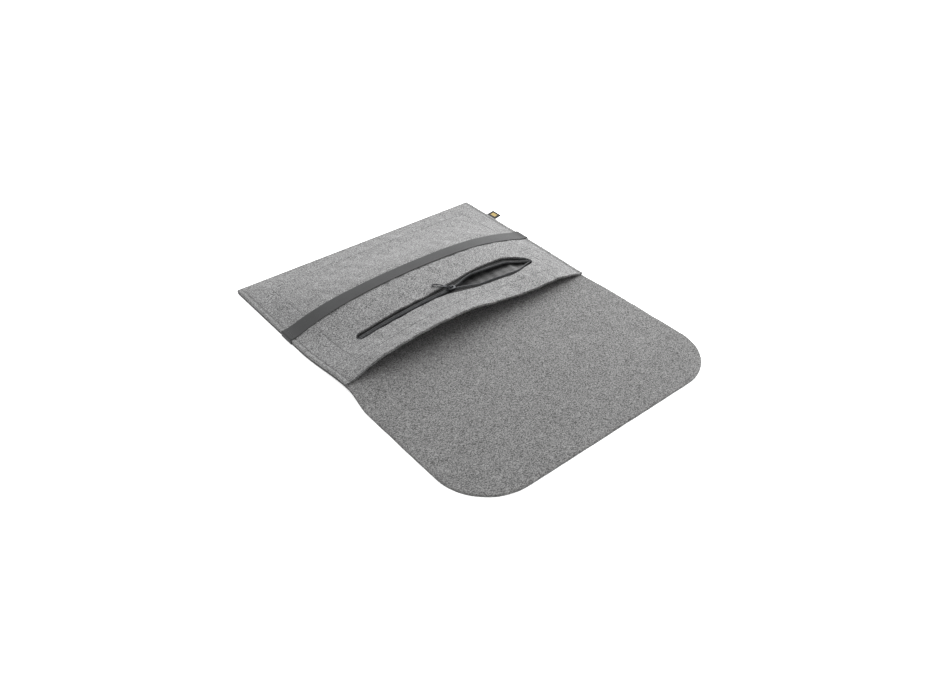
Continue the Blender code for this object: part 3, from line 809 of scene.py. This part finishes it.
def label_material():
    """Black woven label with a small plain gold bar."""
    n = Nodes("label_weave")
    along, across = n.weave_places()
    pick = n.math("ADD", n.math("MULTIPLY", n.threads(along, 0.0006), 0.5), 0.5)
    weave = n.math("MULTIPLY", n.threads(across, 0.00045), pick)

    def within(value, low, high):
        return n.math("MULTIPLY", n.math("GREATER_THAN", value, low), n.math("LESS_THAN", value, high))

    from_fold = n.math("ABSOLUTE", n.math("SUBTRACT", along, TAG_LENGTH))
    on_bar = n.math(
        "MULTIPLY", within(from_fold, *LABEL_BAR), within(across, -LABEL_BAR_HALF, LABEL_BAR_HALF)
    )
    # Both colours are painted lighter on the threads' crowns and darker between them: painted highlight
    # and painted shade.
    black = n.blend(weave, (0.004, 0.004, 0.004, 1.0), (0.018, 0.017, 0.016, 1.0))
    gold = n.blend(weave, (0.18, 0.13, 0.040, 1.0), (0.38, 0.29, 0.115, 1.0))
    fuzz = n.noise(n.place(), 1500.0)
    return n.finish(
        base_color=n.blend(on_bar, black, gold), roughness=n.ramp(fuzz, 0.2, 0.8, 0.65, 0.85),
        normal=n.bump(weave, 0.5, 0.00015), sheen_weight=0.03, specular_ior_level=0.2,
    )


def floor_material():
    return Nodes("studio_floor").finish(
        base_color=(0.93, 0.93, 0.93, 1.0), roughness=0.95, specular_ior_level=0.0,
        emission_color=(1.0, 1.0, 1.0, 1.0), emission_strength=0.55,
    )


FELT_OUTSIDE = felt_material("felt_outside", 0.137, 0.0)
# A darker, slightly warmer copy of the same felt, for the back panel, spine and flap.
FELT_DARKER = felt_material("felt_darker", 0.108, 0.006)
ELASTIC = woven_material("elastic_strap", 0.030, 0.0010, 0.0008, 0.14, 0.20, 0.78, 0.03, -0.02)
# The tape's near-black tone is partly its own dark cloth and partly painted shade from the slot's lips.
TAPE = woven_material("zip_tape_weave", 0.006, 0.0006, 0.0007, 0.45, 0.6, 0.78, 0.04)
THREAD_PALE = thread_material("seam_thread", 0.13)
THREAD_DARK = thread_material("pocket_thread", 0.032)
LINING_CLOTH = lining_material()
TEETH = coil_material()
METAL = metal_material()
LABEL = label_material()


# ---- felt -------------------------------------------------------------------------
TOUCH = 1e-5

# The ramps that rise from both ends of each lip's bow, and fall off into the panel;
# each lip's panel piece is split where the two ramps are equal.
LIP_FALL = 45.28


def lip_rises(side):
    _, first_ramp, _, last_ramp = LIP_BOWS[side]
    total = 1 + LIP_FALL * LIP_HALF
    return total / first_ramp, total / last_ramp


def lip_split(side):
    """Where a lip's two ramps meet, and its panel piece is split."""
    start, _, end, _ = LIP_BOWS[side]
    left_rise, right_rise = lip_rises(side)
    return (left_rise * start + right_rise * end) / (left_rise + right_rise)


def panel_normals(x, y, step=0.0002):
    """Directions that stand on the front panel's upper face."""
    slope_x = (felt_top(x + step, y) - felt_top(x - step, y)) / (2 * step)
    slope_y = (felt_top(x, y + step) - felt_top(x, y - step)) / (2 * step)
    return unit(np.stack([-slope_x, -slope_y, np.ones_like(slope_x)], -1))


# Steps of the front panel's grid, and how far from the mouth its rows start to bow to the slot.
PANEL_STEP = 0.0022
FAR_STEP = 0.0024
NEAR_BOW = 0.038
FAR_BOW = 0.082
COLUMN_CLEAR = 0.0008


def panel_columns(start, end):
    """Places across the front panel, closer at its seams and round the slot's ends."""
    seams = [s * p for s in (-1, 1) for p in (SIDE_SEAM_X, POCKET_SEAM_X)]
    base = stations(start, end, PANEL_STEP, [p for p in seams if start < p < end])
    rounded = SLOT_HALF * (1 - np.cos(np.radians(np.linspace(0, 90, 8))))
    for places in (SLOT_LEFT + rounded, SLOT_RIGHT - rounded):
        if start < places.min() and places.max() < end:
            clear = (base < places.min() - COLUMN_CLEAR) | (base > places.max() + COLUMN_CLEAR)
            base = np.sort(np.concatenate([base[clear], places]))
    return base


def panel_cut_and_shade(points):
    """The front panel's sides are sewn and rolled upward, and only its mouth and slot look cut and get
    more of the edge darkening, which is partly painted shade.
    """
    return np.where(np.abs(points[:, 0]) > HALF - FELT, ROLLED_SIDE_CUT_AND_SHADE, MOUTH_CUT_AND_SHADE)


def build_panel_piece(side, half):
    """A quarter of the front panel: nearer or farther than the zip, left or right of the lips' split."""
    split = lip_split(side)
    columns = panel_columns(*((-HALF, split) if half == "left" else (split, HALF)))
    steps = np.linspace(0, 1, 11)[:, None]
    slot = ZIP_Y + side * slot_half(columns, side)
    if side < 0:
        fixed = stations(MOUTH_Y + MOUTH_SETBACK, MOUTH_Y + NEAR_BOW, PANEL_STEP, [POCKET_SEAM_NEAR])
        parts = [np.tile(fixed[:, None], len(columns)), mix(fixed[-1], slot, steps[1:])]
    else:
        fixed = stations(MOUTH_Y + FAR_BOW, END_Y - FOLD_RADIUS, FAR_STEP, [POCKET_SEAM_FAR])
        parts = [mix(slot, fixed[0], steps[:-1]), np.tile(fixed[:, None], len(columns))]
    y = np.concatenate(parts)
    x = np.broadcast_to(columns, y.shape)
    word = {-1: "near", 1: "far"}[side]

    def joined(middles):
        at_split = np.abs(middles[:, 0] - split) < TOUCH
        beyond = (middles[:, 0] < SLOT_LEFT) | (middles[:, 0] > SLOT_RIGHT)
        at_zip_line = (np.abs(middles[:, 1] - ZIP_Y) < TOUCH) & beyond
        at_end = middles[:, 1] > END_Y - FOLD_RADIUS - TOUCH
        return at_split | at_zip_line | at_end

    piece = thick_sheet(
        f"felt_front_{word}_{half}", grid(x, y, felt_top(x, y)), FELT, FELT_OUTSIDE, joined,
        normals=panel_normals(x, y), finish=settle, cut=panel_cut_and_shade,
    )
    blend_to_lip(piece)
    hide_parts("front_panel")


def blend_to_lip(piece):
    """Bakes the piece's transform into its mesh."""
    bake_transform(piece)


def build_back():
    """The back panel, turned up over the closed end, and the near half of the flap's spine."""
    columns = stations(-HALF, HALF, 0.0032, [-SIDE_SEAM_X, SIDE_SEAM_X])
    flat = stations(SPLIT_Y, END_Y - FOLD_RADIUS, 0.0032)
    inner = FOLD_RADIUS - FELT
    turns = np.radians(np.linspace(-90, 90, 11))
    y = np.concatenate([flat, END_Y - FOLD_RADIUS + inner * np.cos(turns[1:])])
    z = np.concatenate([np.full(len(flat), FELT), FOLD_RADIUS + inner * np.sin(turns[1:])])
    slope_y = np.concatenate([np.zeros(len(flat)), -np.cos(turns[1:])])
    slope_z = np.concatenate([np.ones(len(flat)), -np.sin(turns[1:])])
    level = np.zeros(len(columns))

    def joined(middles):
        at_split = np.abs(middles[:, 1] - SPLIT_Y) < TOUCH
        at_top = (middles[:, 2] > FOLD_RADIUS) & (np.abs(middles[:, 1] - (END_Y - FOLD_RADIUS)) < TOUCH)
        return at_split | at_top

    piece = thick_sheet(
        "felt_back_and_spine", grid(columns, y[:, None], z[:, None]), FELT, FELT_DARKER, joined,
        normals=grid(level, slope_y[:, None], slope_z[:, None]), finish=settle, cut=BACK_CUT_AND_SHADE,
    )
    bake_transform(piece)
    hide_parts("back_panel", "end_fold", "flap_spine")


def flap_grid():
    """Places over the flap and its half of the spine, as rows from the tip to the split.

    The first row runs round half of each rounded corner, and the columns' ends round the rest.
    """
    def corner_arc(start, end):
        turns = np.radians(np.linspace(start, end, 12))
        return HALF - CORNER + CORNER * np.sin(turns), TIP_Y + CORNER * (1 - np.cos(turns))

    straight = stations(CORNER - HALF, HALF - CORNER, 0.003)
    corner_x, corner_y = corner_arc(0, 45)
    tip_x = np.concatenate([-corner_x[:0:-1], straight, corner_x[1:]])
    tip_y = np.concatenate([corner_y[:0:-1], np.full(len(straight), TIP_Y), corner_y[1:]])
    side_x, side_y = corner_arc(45, 90)
    side_y = np.concatenate([side_y, stations(TIP_Y + CORNER, SPLIT_Y, 0.003)[1:]])
    side_x = np.concatenate([side_x, np.full(len(side_y) - len(side_x), HALF)])
    up = (side_y - side_y[0]) / (SPLIT_Y - side_y[0])
    return side_x[:, None] * tip_x / tip_x[-1], mix(tip_y, SPLIT_Y, up[:, None])


def build_flap():
    """The far half of the spine and the flap, with its rounded corners."""
    x, y = flap_grid()
    lie = ripple(x, y, FELT_WAVES, FLAP_WAVE_HEIGHT) * smoothstep((FLAP_CALM_Y - y) / FELT_CALM)
    top = grid(x, y, FELT + lie)

    def joined(middles):
        return np.abs(middles[:, 1] - SPLIT_Y) < TOUCH

    piece = thick_sheet(
        "felt_spine_and_flap", top, FELT, FELT_DARKER, joined, rounding=0.0008,
        normals=np.broadcast_to((0.0, 0.0, 1.0), top.shape), finish=settle, cut=FLAP_CUT_AND_SHADE,
    )
    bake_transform(piece)
    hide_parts("flap_spine", "flap")


# ---- lining and stitches -----------------------------------------------------------
CLOTH_ROUNDING = 0.0002
SIDE_STITCH_RADIUS = 0.00028
STITCH_RADIUS = 0.00023
SUNK_STITCH_RADIUS = 0.00016
SEAM_STEP = 0.002
SEAM_CLEAR = 0.0006


def build_lining():
    """The zip pocket's bag, sewn to the felt along its edge and hanging free inside."""
    x = stations(-POCKET_HALF, POCKET_HALF, 0.0025)
    y = stations(POCKET_NEAR_Y, POCKET_FAR_Y, 0.0025)
    x, y = np.meshgrid(x, y)
    piece = thick_sheet(
        "pocket_lining_cloth", grid(x, y, lining_top(x, y)), LINING, LINING_CLOTH,
        rounding=CLOTH_ROUNDING, uv=grid(x, y),
    )
    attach(piece, "sleeve")
    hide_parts("pocket_lining")


def felt_stitches(name, corners, material, radius):
    """Stitches on the front panel along straight lines from corner to corner."""
    places = [np.array(corners[:1])]
    for start, end in zip(corners, corners[1:]):
        count = max(2, round(math.dist(start, end) / SEAM_STEP))
        share = np.arange(1, count)[:, None] / (count - 1)
        places.append(mix(np.array(start), np.array(end), share))
    x, y = np.concatenate(places).T
    points = grid(x, y, felt_top(x, y))
    return stitch_row(name, points, panel_normals(x, y), material, radius, finish=settle)


def build_side_seams():
    """The side seams' stitches, which leave out the stretch under the strap."""
    clear = STRAP_WIDTH / 2 + SEAM_CLEAR
    for side, word in ((-1, "left"), (1, "right")):
        x = side * SIDE_SEAM_X
        spans = [
            ("front", (x, MOUTH_Y + MOUTH_SETBACK + SEAM_STEP), (x, STRAP_Y - clear)),
            ("rear", (x, STRAP_Y + clear), (x, END_Y - FOLD_RADIUS)),
        ]
        for part, *ends in spans:
            piece = felt_stitches(
                f"side_stitches_{word}_{part}", ends, THREAD_PALE, SIDE_STITCH_RADIUS
            )
            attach(piece, "sleeve")
            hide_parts(f"side_seam_thread_{word}")


def build_pocket_stitches():
    """The left and the near left stitches stand out, and the others sink into the felt."""
    left, right = -POCKET_SEAM_X, POCKET_SEAM_X
    near, far = POCKET_SEAM_NEAR, POCKET_SEAM_FAR
    split = lip_split(-1)
    rows = [
        ("near_left", [(left, near), (split, near)], STITCH_RADIUS),
        ("near_right", [(split, near), (right, near)], SUNK_STITCH_RADIUS),
        ("far", [(right, near), (right, far), (left, far)], SUNK_STITCH_RADIUS),
        ("left", [(left, far), (left, near)], STITCH_RADIUS),
    ]
    for word, corners, radius in rows:
        piece = felt_stitches(f"pocket_stitches_{word}", corners, THREAD_DARK, radius)
        if word.startswith("near_"):
            blend_to_lip(piece)
        else:
            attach(piece, "sleeve")
        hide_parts("pocket_seam_thread")


# ---- zip ----------------------------------------------------------------------------
ZIP_INSET = 0.001
TAPE_CLEAR = 0.0001
ZIP_SPLIT_X = 0.074
ZIP_SIDES = ((1, "upper"), (-1, "lower"))


def zip_halves():
    """The two halves of each tape and row of teeth: name, start and end."""
    left, right = SLOT_LEFT + ZIP_INSET, SLOT_RIGHT - ZIP_INSET
    return (("left", left, ZIP_SPLIT_X), ("right", ZIP_SPLIT_X, right))


def blend_along_zip(piece):
    """Bakes the piece's transform into its mesh; the tapes and teeth already part by x alone, so that
    both of their edges stay parallel.
    """
    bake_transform(piece)


def tape_level(x, y, side, share):
    """Top of the zip's tape: level with the teeth at its inner edge, under the felt at its outer."""
    under_lip = np.minimum(panel_top(x, y), panel_top(x, ZIP_Y + side * lip_offset(x, side)))
    return mix(zip_arc_height(x), under_lip, share) - FELT - 2 * GAP


def build_tapes():
    """Each side's tape in two halves, from beside the teeth to just under the felt's lip."""
    for side, word in ZIP_SIDES:
        for half, start, end in zip_halves():
            x = stations(start, end, 0.002)
            v = np.linspace(0, 1, 9)
            inner = GAP + TAPE_CLEAR + zip_gap(x)
            order = (v if side > 0 else v[::-1])[:, None]
            width = lip_offset(x, side) + TAPE_HEM - inner
            y = ZIP_Y + side * (inner + width * order)

            def joined(middles):
                return np.abs(middles[:, 0] - ZIP_SPLIT_X) < TOUCH

            piece = thick_sheet(
                f"zip_tape_{word}_{half}", grid(x, y, tape_level(x, y, side, order)),
                TAPE_THICKNESS, TAPE, joined, rounding=CLOTH_ROUNDING, uv=grid(x, width * order),
            )
            blend_along_zip(piece)
            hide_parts(f"zip_tape_{word}")


TOOTH_PITCH = 0.00115
TOOTH_WIRE = 0.00030
TOOTH_REACH = 0.00080
TOOTH_POINTS = 10
TEETH_INSET = 0.003


def build_teeth():
    """The zip's coil: a nylon wire wound round and round along each tape's edge."""
    for side, word in ZIP_SIDES:
        for half, start, end in zip_halves():
            if half == "left":
                start += TEETH_INSET
            else:
                end -= TEETH_INSET
            turns = (end - start) / TOOTH_PITCH
            angle = np.arange(int(turns * TOOTH_POINTS)) * 2 * math.pi / TOOTH_POINTS
            x = start + TOOTH_PITCH * angle / (2 * math.pi) + 0.5 * TOOTH_PITCH * (side > 0)
            middle = ZIP_Y + side * (GAP / 2 + TOOTH_REACH + TOOTH_WIRE + zip_gap(x))
            y = middle - side * TOOTH_REACH * np.cos(angle)
            z = coil_level(x) + (COIL_RADIUS - TOOTH_WIRE) * np.sin(angle)
            path = grid(x, y, z)[None]
            ups = np.broadcast_to((1.0, 0.0, 0.0), path.shape)
            piece = tubes(f"zip_teeth_{word}_{half}", path, ups, TOOTH_WIRE, 7, TEETH)
            blend_along_zip(piece)
            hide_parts(f"zip_coil_{word}")


def box_outline(x0, x1, y0, y1):
    return [(x0, y0), (x1, y0), (x1, y1), (x0, y1)]


def mirrored(points):
    """The same points across the X axis, in the order that carries on an outline."""
    return [(x, -y) for x, y in reversed(points)]


def build_stops():
    """Each stop is a low block with a narrower ridge on it."""
    margin = 0.0002
    for node in ("zip_bottom_stop", "zip_top_stop_upper", "zip_top_stop_lower"):
        low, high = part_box(node)
        outline = box_outline(low.x, high.x, low.y, high.y)
        ridge_ends = mix(low.x, high.x, 0.25), mix(low.x, high.x, 0.75)
        ridge = box_outline(*ridge_ends, low.y + margin, high.y - margin)
        meshes = [
            prism(outline, low.z, mix(low.z, high.z, 0.8), 0.0004, 3),
            prism(ridge, mix(low.z, high.z, 0.5), high.z, 0.0003, 3),
        ]
        piece = join_meshes(node + "_moulded", meshes, METAL)
        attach(piece, "sleeve")
        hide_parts(node)


SLIDER_PLATE = 0.0011
SLIDER_FLOOR = 0.0008
SLIDER_CLEAR = 0.0002
BRIDGE_REACH = 0.0041
BRIDGE_RADIUS = 0.0006
BRIDGE_WIDENING = 1.7


def build_slider():
    """The slider: two shield-shaped plates with turned-in sides, a post and a bridge."""
    low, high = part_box("zip_slider")
    front, rear, centre = high.x, low.x, (low.x + high.x) / 2
    plate_top = coil_level(SLIDER_X) + COIL_RADIUS + SLIDER_CLEAR + SLIDER_PLATE
    plate_low = plate_top - SLIDER_PLATE

    def plate(points, bottom, top, *rounding):
        return prism([(x, ZIP_Y + y) for x, y in points], bottom, top, *rounding)

    half = [(front - 0.0022, 0.0041), (centre, 0.0037), (rear + 0.0024, 0.0031)]
    nose = arc((front - 0.0036, 0.0), 0.0036, -52, 52, 9)
    tail = arc((rear + 0.0022, 0.0), 0.0024, 125, 235, 7)
    shield = nose + half + tail + mirrored(half)
    floor = [(x, 0.86 * y) for x, y in shield if x > rear + 0.001]
    wall = [(rear + 0.002, 0.0027), (front - 0.003, 0.0033)]
    wall += [(front - 0.003, 0.0039), (rear + 0.002, 0.0033)]
    post = [(front - 0.0034, 0.0), (front - 0.0018, -0.0005), (front - 0.0004, -0.0004)]
    meshes = [
        plate(shield, plate_low, plate_top, 0.00035, 3),
        plate(floor, low.z, low.z + SLIDER_FLOOR, 0.0003),
        plate(mirrored(wall), plate_low - 0.0006, plate_low + 0.0003, 0.0001),
        plate(wall, plate_low - 0.0006, plate_low + 0.0003, 0.0001),
        plate(post + mirrored(post[1:]), low.z + 0.0004, plate_low + 0.0004, 0.0001),
    ]
    body = join_meshes("slider_body", meshes, METAL)

    foot = plate_top - 0.0002
    rise = high.z - BRIDGE_RADIUS - foot
    turns = np.radians(np.linspace(0, 180, 17))
    x = SLIDER_X - 0.0007 + BRIDGE_REACH * np.cos(turns)
    path = grid(x, ZIP_Y, foot + rise * np.sin(turns) ** 0.7)[None]
    ups = np.broadcast_to((0.0, 1.0, 0.0), path.shape)
    bridge = tubes("slider_bridge", path, ups, BRIDGE_RADIUS, 12, METAL)
    for vertex in bridge.data.vertices:
        vertex.co.y = ZIP_Y + (vertex.co.y - ZIP_Y) * BRIDGE_WIDENING
    for piece in (body, bridge):
        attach(piece, "slider")
        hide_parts("zip_slider")


# The puller's sizes along X from its pin: its neck's half widths, and its two holes.
PULLER_YAW = math.radians(-44)
PULLER_NECK = [
    (0.0, 0.0020), (-0.0042, 0.0020), (-0.0066, 0.0018), (-0.0092, 0.0023), (-0.0170, 0.0031),
]
PULLER_TIP = 0.0034
EYE_LENGTH = 0.0034
EYE_RADIUS = 0.0013
WINDOW_ROOT = -0.0104
WINDOW_RADII = 0.0027, 0.0015
WINDOW_RIM = 0.0002


def build_puller():
    """A flat pull with an eye at the bridge and a long window at its tip, turned to one side."""
    low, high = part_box("zip_puller")
    pin_x = high.x - 0.0005
    tip_x = low.x - pin_x + PULLER_TIP

    def window(grow, tip_count, root_count):
        tip_radius, root_radius = (radius + grow for radius in WINDOW_RADII)
        tip = arc((tip_x + 0.0001, 0.0), tip_radius, 90, 270, tip_count)
        return tip + arc((WINDOW_ROOT, 0.0), root_radius, -90, 90, root_count)

    far = arc((tip_x, 0.0), PULLER_TIP, 90, 270, 15)
    end = arc((0.0, 0.0), PULLER_NECK[0][1], -90, 90, 7)[1:-1]
    outline = PULLER_NECK + far + mirrored(PULLER_NECK) + end
    blank = linked("puller_blank", prism(outline, low.z, high.z, 0.00022))
    eye = arc((-EYE_LENGTH, 0.0), EYE_RADIUS, 90, 270, 7) + arc((0.0, 0.0), EYE_RADIUS, -90, 90, 7)
    cutters = []
    for points in (window(0.0, 11, 9), eye):
        cutter = linked("cutter", prism(points, low.z - 0.001, high.z + 0.001, 0.00001, 1))
        boolean = blank.modifiers.new("Cut", "BOOLEAN")
        boolean.operation = "DIFFERENCE"
        boolean.solver = "EXACT"
        boolean.object = cutter
        cutters.append(cutter)
    shaped = evaluated_mesh(blank)
    for extra in [blank, *cutters]:
        bpy.data.objects.remove(extra, do_unlink=True)
    outer, inner = window(WINDOW_RIM, 12, 12), window(0.0, 12, 12)
    rim = ring_between(outer, inner, low.z - 0.0001, high.z + 0.0001, 0.00012)
    place = Matrix.Translation((pin_x, ZIP_Y, 0.0)) @ Matrix.Rotation(PULLER_YAW, 4, "Z")
    piece = join_meshes("puller_bar", [shaped, rim], METAL, place)
    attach(piece, "puller")
    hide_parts("zip_puller")


# ---- strap and tag ------------------------------------------------------------------
STRAP_CLEAR = 0.0005
STRAP_CLOTH = 0.0009
STRAP_NECKING = 0.22
STRAP_DRIFT = 0.0007
STRAP_BEND = 0.0017
LEG_BOTTOM = 0.001


def strap_line(share, x):
    """One lengthwise line of the stretched strap, which is narrower in its middle."""
    middle = 1 - np.minimum(1.0, (x / HALF) ** 2)
    return STRAP_Y + share * STRAP_WIDTH / 2 * (1 - STRAP_NECKING * middle) + STRAP_DRIFT * middle


def strap_path(share):
    """Outer face of one lengthwise line: up one side, over the felt, down the other."""
    outside = HALF + GAP + STRAP_CLOTH
    inner = stations(-outside + STRAP_BEND, outside - STRAP_BEND, 0.0024)
    over = panel_top(inner, strap_line(share, inner)) + STRAP_CLEAR + STRAP_CLOTH
    bend_z = over[0] - STRAP_BEND
    leg = np.linspace(LEG_BOTTOM, bend_z, 9)[:-1]
    turn = np.radians(np.linspace(180, 90, 7))
    x = np.concatenate([np.full(len(leg), -outside), -outside + STRAP_BEND + STRAP_BEND * np.cos(turn)])
    z = np.concatenate([leg, bend_z + STRAP_BEND * np.sin(turn)])
    return np.concatenate([x, inner[1:-1], -x[::-1]]), np.concatenate([z, over[1:-1], z[::-1]])


def build_strap():
    """The elastic strap, whose legs stretch from the side seams, and its stitches."""
    shares = np.linspace(-1.0, 1.0, 11)
    x, z = np.stack([strap_path(share) for share in shares], 1)
    travel = travel_along(grid(x[0], z[0]))
    piece = thick_sheet(
        "elastic_strap", grid(x, strap_line(shares[:, None], x), z), STRAP_CLOTH, ELASTIC,
        rounding=0.0003, uv=grid(travel, shares[:, None] * STRAP_WIDTH / 2),
    )
    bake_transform(piece)
    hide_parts("strap_band", "strap_end_left", "strap_end_right")

    for side, word in ((-1, "left"), (1, "right")):
        seam_x = side * SIDE_SEAM_X
        points = []
        for share in np.linspace(-0.94, 0.94, 21):
            path_x, path_z = strap_path(share)
            over = np.abs(path_x) < HALF
            height = float(np.interp(seam_x, path_x[over], path_z[over]))
            points.append((seam_x, strap_line(share, seam_x), height))
        points = np.array(points)
        normals = np.broadcast_to((0.0, 0.0, 1.0), points.shape)
        stitches = stitch_row(f"strap_stitches_{word}", points, normals, THREAD_DARK, STITCH_RADIUS)
        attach(stitches, "strap")
        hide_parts("strap_band")


def build_tag():
    """A ribbon folded into a loop, with its two ends held in the side seam."""
    ribbon = 0.00045
    bend = 0.00055
    level = FELT + GAP / 2
    start, tip = HALF + GAP, HALF + GAP + TAG_LENGTH
    straight = np.linspace(start, tip - bend, 14)
    side = np.ones(len(straight))
    turn = np.radians(np.linspace(-90, 90, 9))[1:-1]
    x = np.concatenate([straight, tip - bend + bend * np.cos(turn), straight[::-1]])
    z = level + bend * np.concatenate([-side, np.sin(turn), side])
    travel = travel_along(grid(x, z))
    across = np.linspace(TAG_WIDTH / 2, -TAG_WIDTH / 2, 9)[:, None]
    curl = TAG_CURL * ((x - start) / TAG_LENGTH) ** 2
    piece = thick_sheet(
        "label_loop", grid(x, TAG_Y + across, z + curl), ribbon, LABEL,
        rounding=0.00012, uv=grid(travel, across),
    )
    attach(piece, "sleeve")
    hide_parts("label_tag")


# ---- studio -------------------------------------------------------------------------
CAMERA_AT = Vector((-0.50035, -0.69494, 0.57723))
CAMERA_AZIMUTH = math.radians(-40.805)
CAMERA_ELEVATION = math.radians(38.402)
CAMERA_ROLL = math.radians(1.354)
CAMERA_LENS = 31.738


def build_camera():
    """The camera at the place that the photo was taken from."""
    flat = math.cos(CAMERA_ELEVATION)
    back = Vector(
        (math.sin(CAMERA_AZIMUTH) * flat, -math.cos(CAMERA_AZIMUTH) * flat, math.sin(CAMERA_ELEVATION))
    )
    right = Vector((0.0, 0.0, 1.0)).cross(back).normalized()
    level = Matrix((right, back.cross(right), back)).transposed().to_4x4()
    data = bpy.data.cameras.new("camera")
    data.lens = CAMERA_LENS
    data.sensor_width = 36.0
    data.clip_start = 0.01
    camera = linked("camera", data)
    camera.matrix_world = Matrix.Translation(CAMERA_AT) @ level @ Matrix.Rotation(CAMERA_ROLL, 4, "Z")
    bpy.context.scene.camera = camera


SOFTBOX_AT = Vector((1.05, 0.22, 0.74))
SOFTBOX_SIZE = 1.4, 1.2
SOFTBOX_POWER = 40.0
SKY_STRENGTH = 1.15
FLOOR_HALF = 14.0
FLOOR_LEVEL = -0.0002


def build_softbox():
    """One large soft light, which points at the sleeve's middle."""
    data = bpy.data.lights.new("key_softbox", "AREA")
    data.shape = "RECTANGLE"
    data.size, data.size_y = SOFTBOX_SIZE
    data.energy = SOFTBOX_POWER
    light = linked("key_softbox", data)
    light.location = SOFTBOX_AT
    light.rotation_euler = (-SOFTBOX_AT).to_track_quat("-Z", "Y").to_euler()


def build_studio():
    """A plain pale floor, a white sky and one softbox."""
    shape = bmesh.new()
    bmesh.ops.create_grid(shape, x_segments=1, y_segments=1, size=FLOOR_HALF)
    mesh = mesh_of(shape, "floor")
    mesh.materials.append(floor_material())
    floor = linked("floor", mesh)
    floor.location.z = FLOOR_LEVEL

    world = bpy.data.worlds.new("studio")
    world.use_nodes = True
    sky = world.node_tree.nodes["Background"].inputs
    sky["Color"].default_value = (1.0, 1.0, 1.0, 1.0)
    sky["Strength"].default_value = SKY_STRENGTH
    bpy.context.scene.world = world
    build_softbox()
    bpy.context.scene.view_settings.view_transform = "Standard"
    bpy.context.scene.view_settings.look = "None"


def main():
    build_camera()
    build_studio()
    build_back()
    build_flap()
    for side in (-1, 1):
        for half in ("left", "right"):
            build_panel_piece(side, half)
    build_lining()
    build_side_seams()
    build_pocket_stitches()
    build_tapes()
    build_teeth()
    build_stops()
    build_slider()
    build_puller()
    build_strap()
    build_tag()


main()
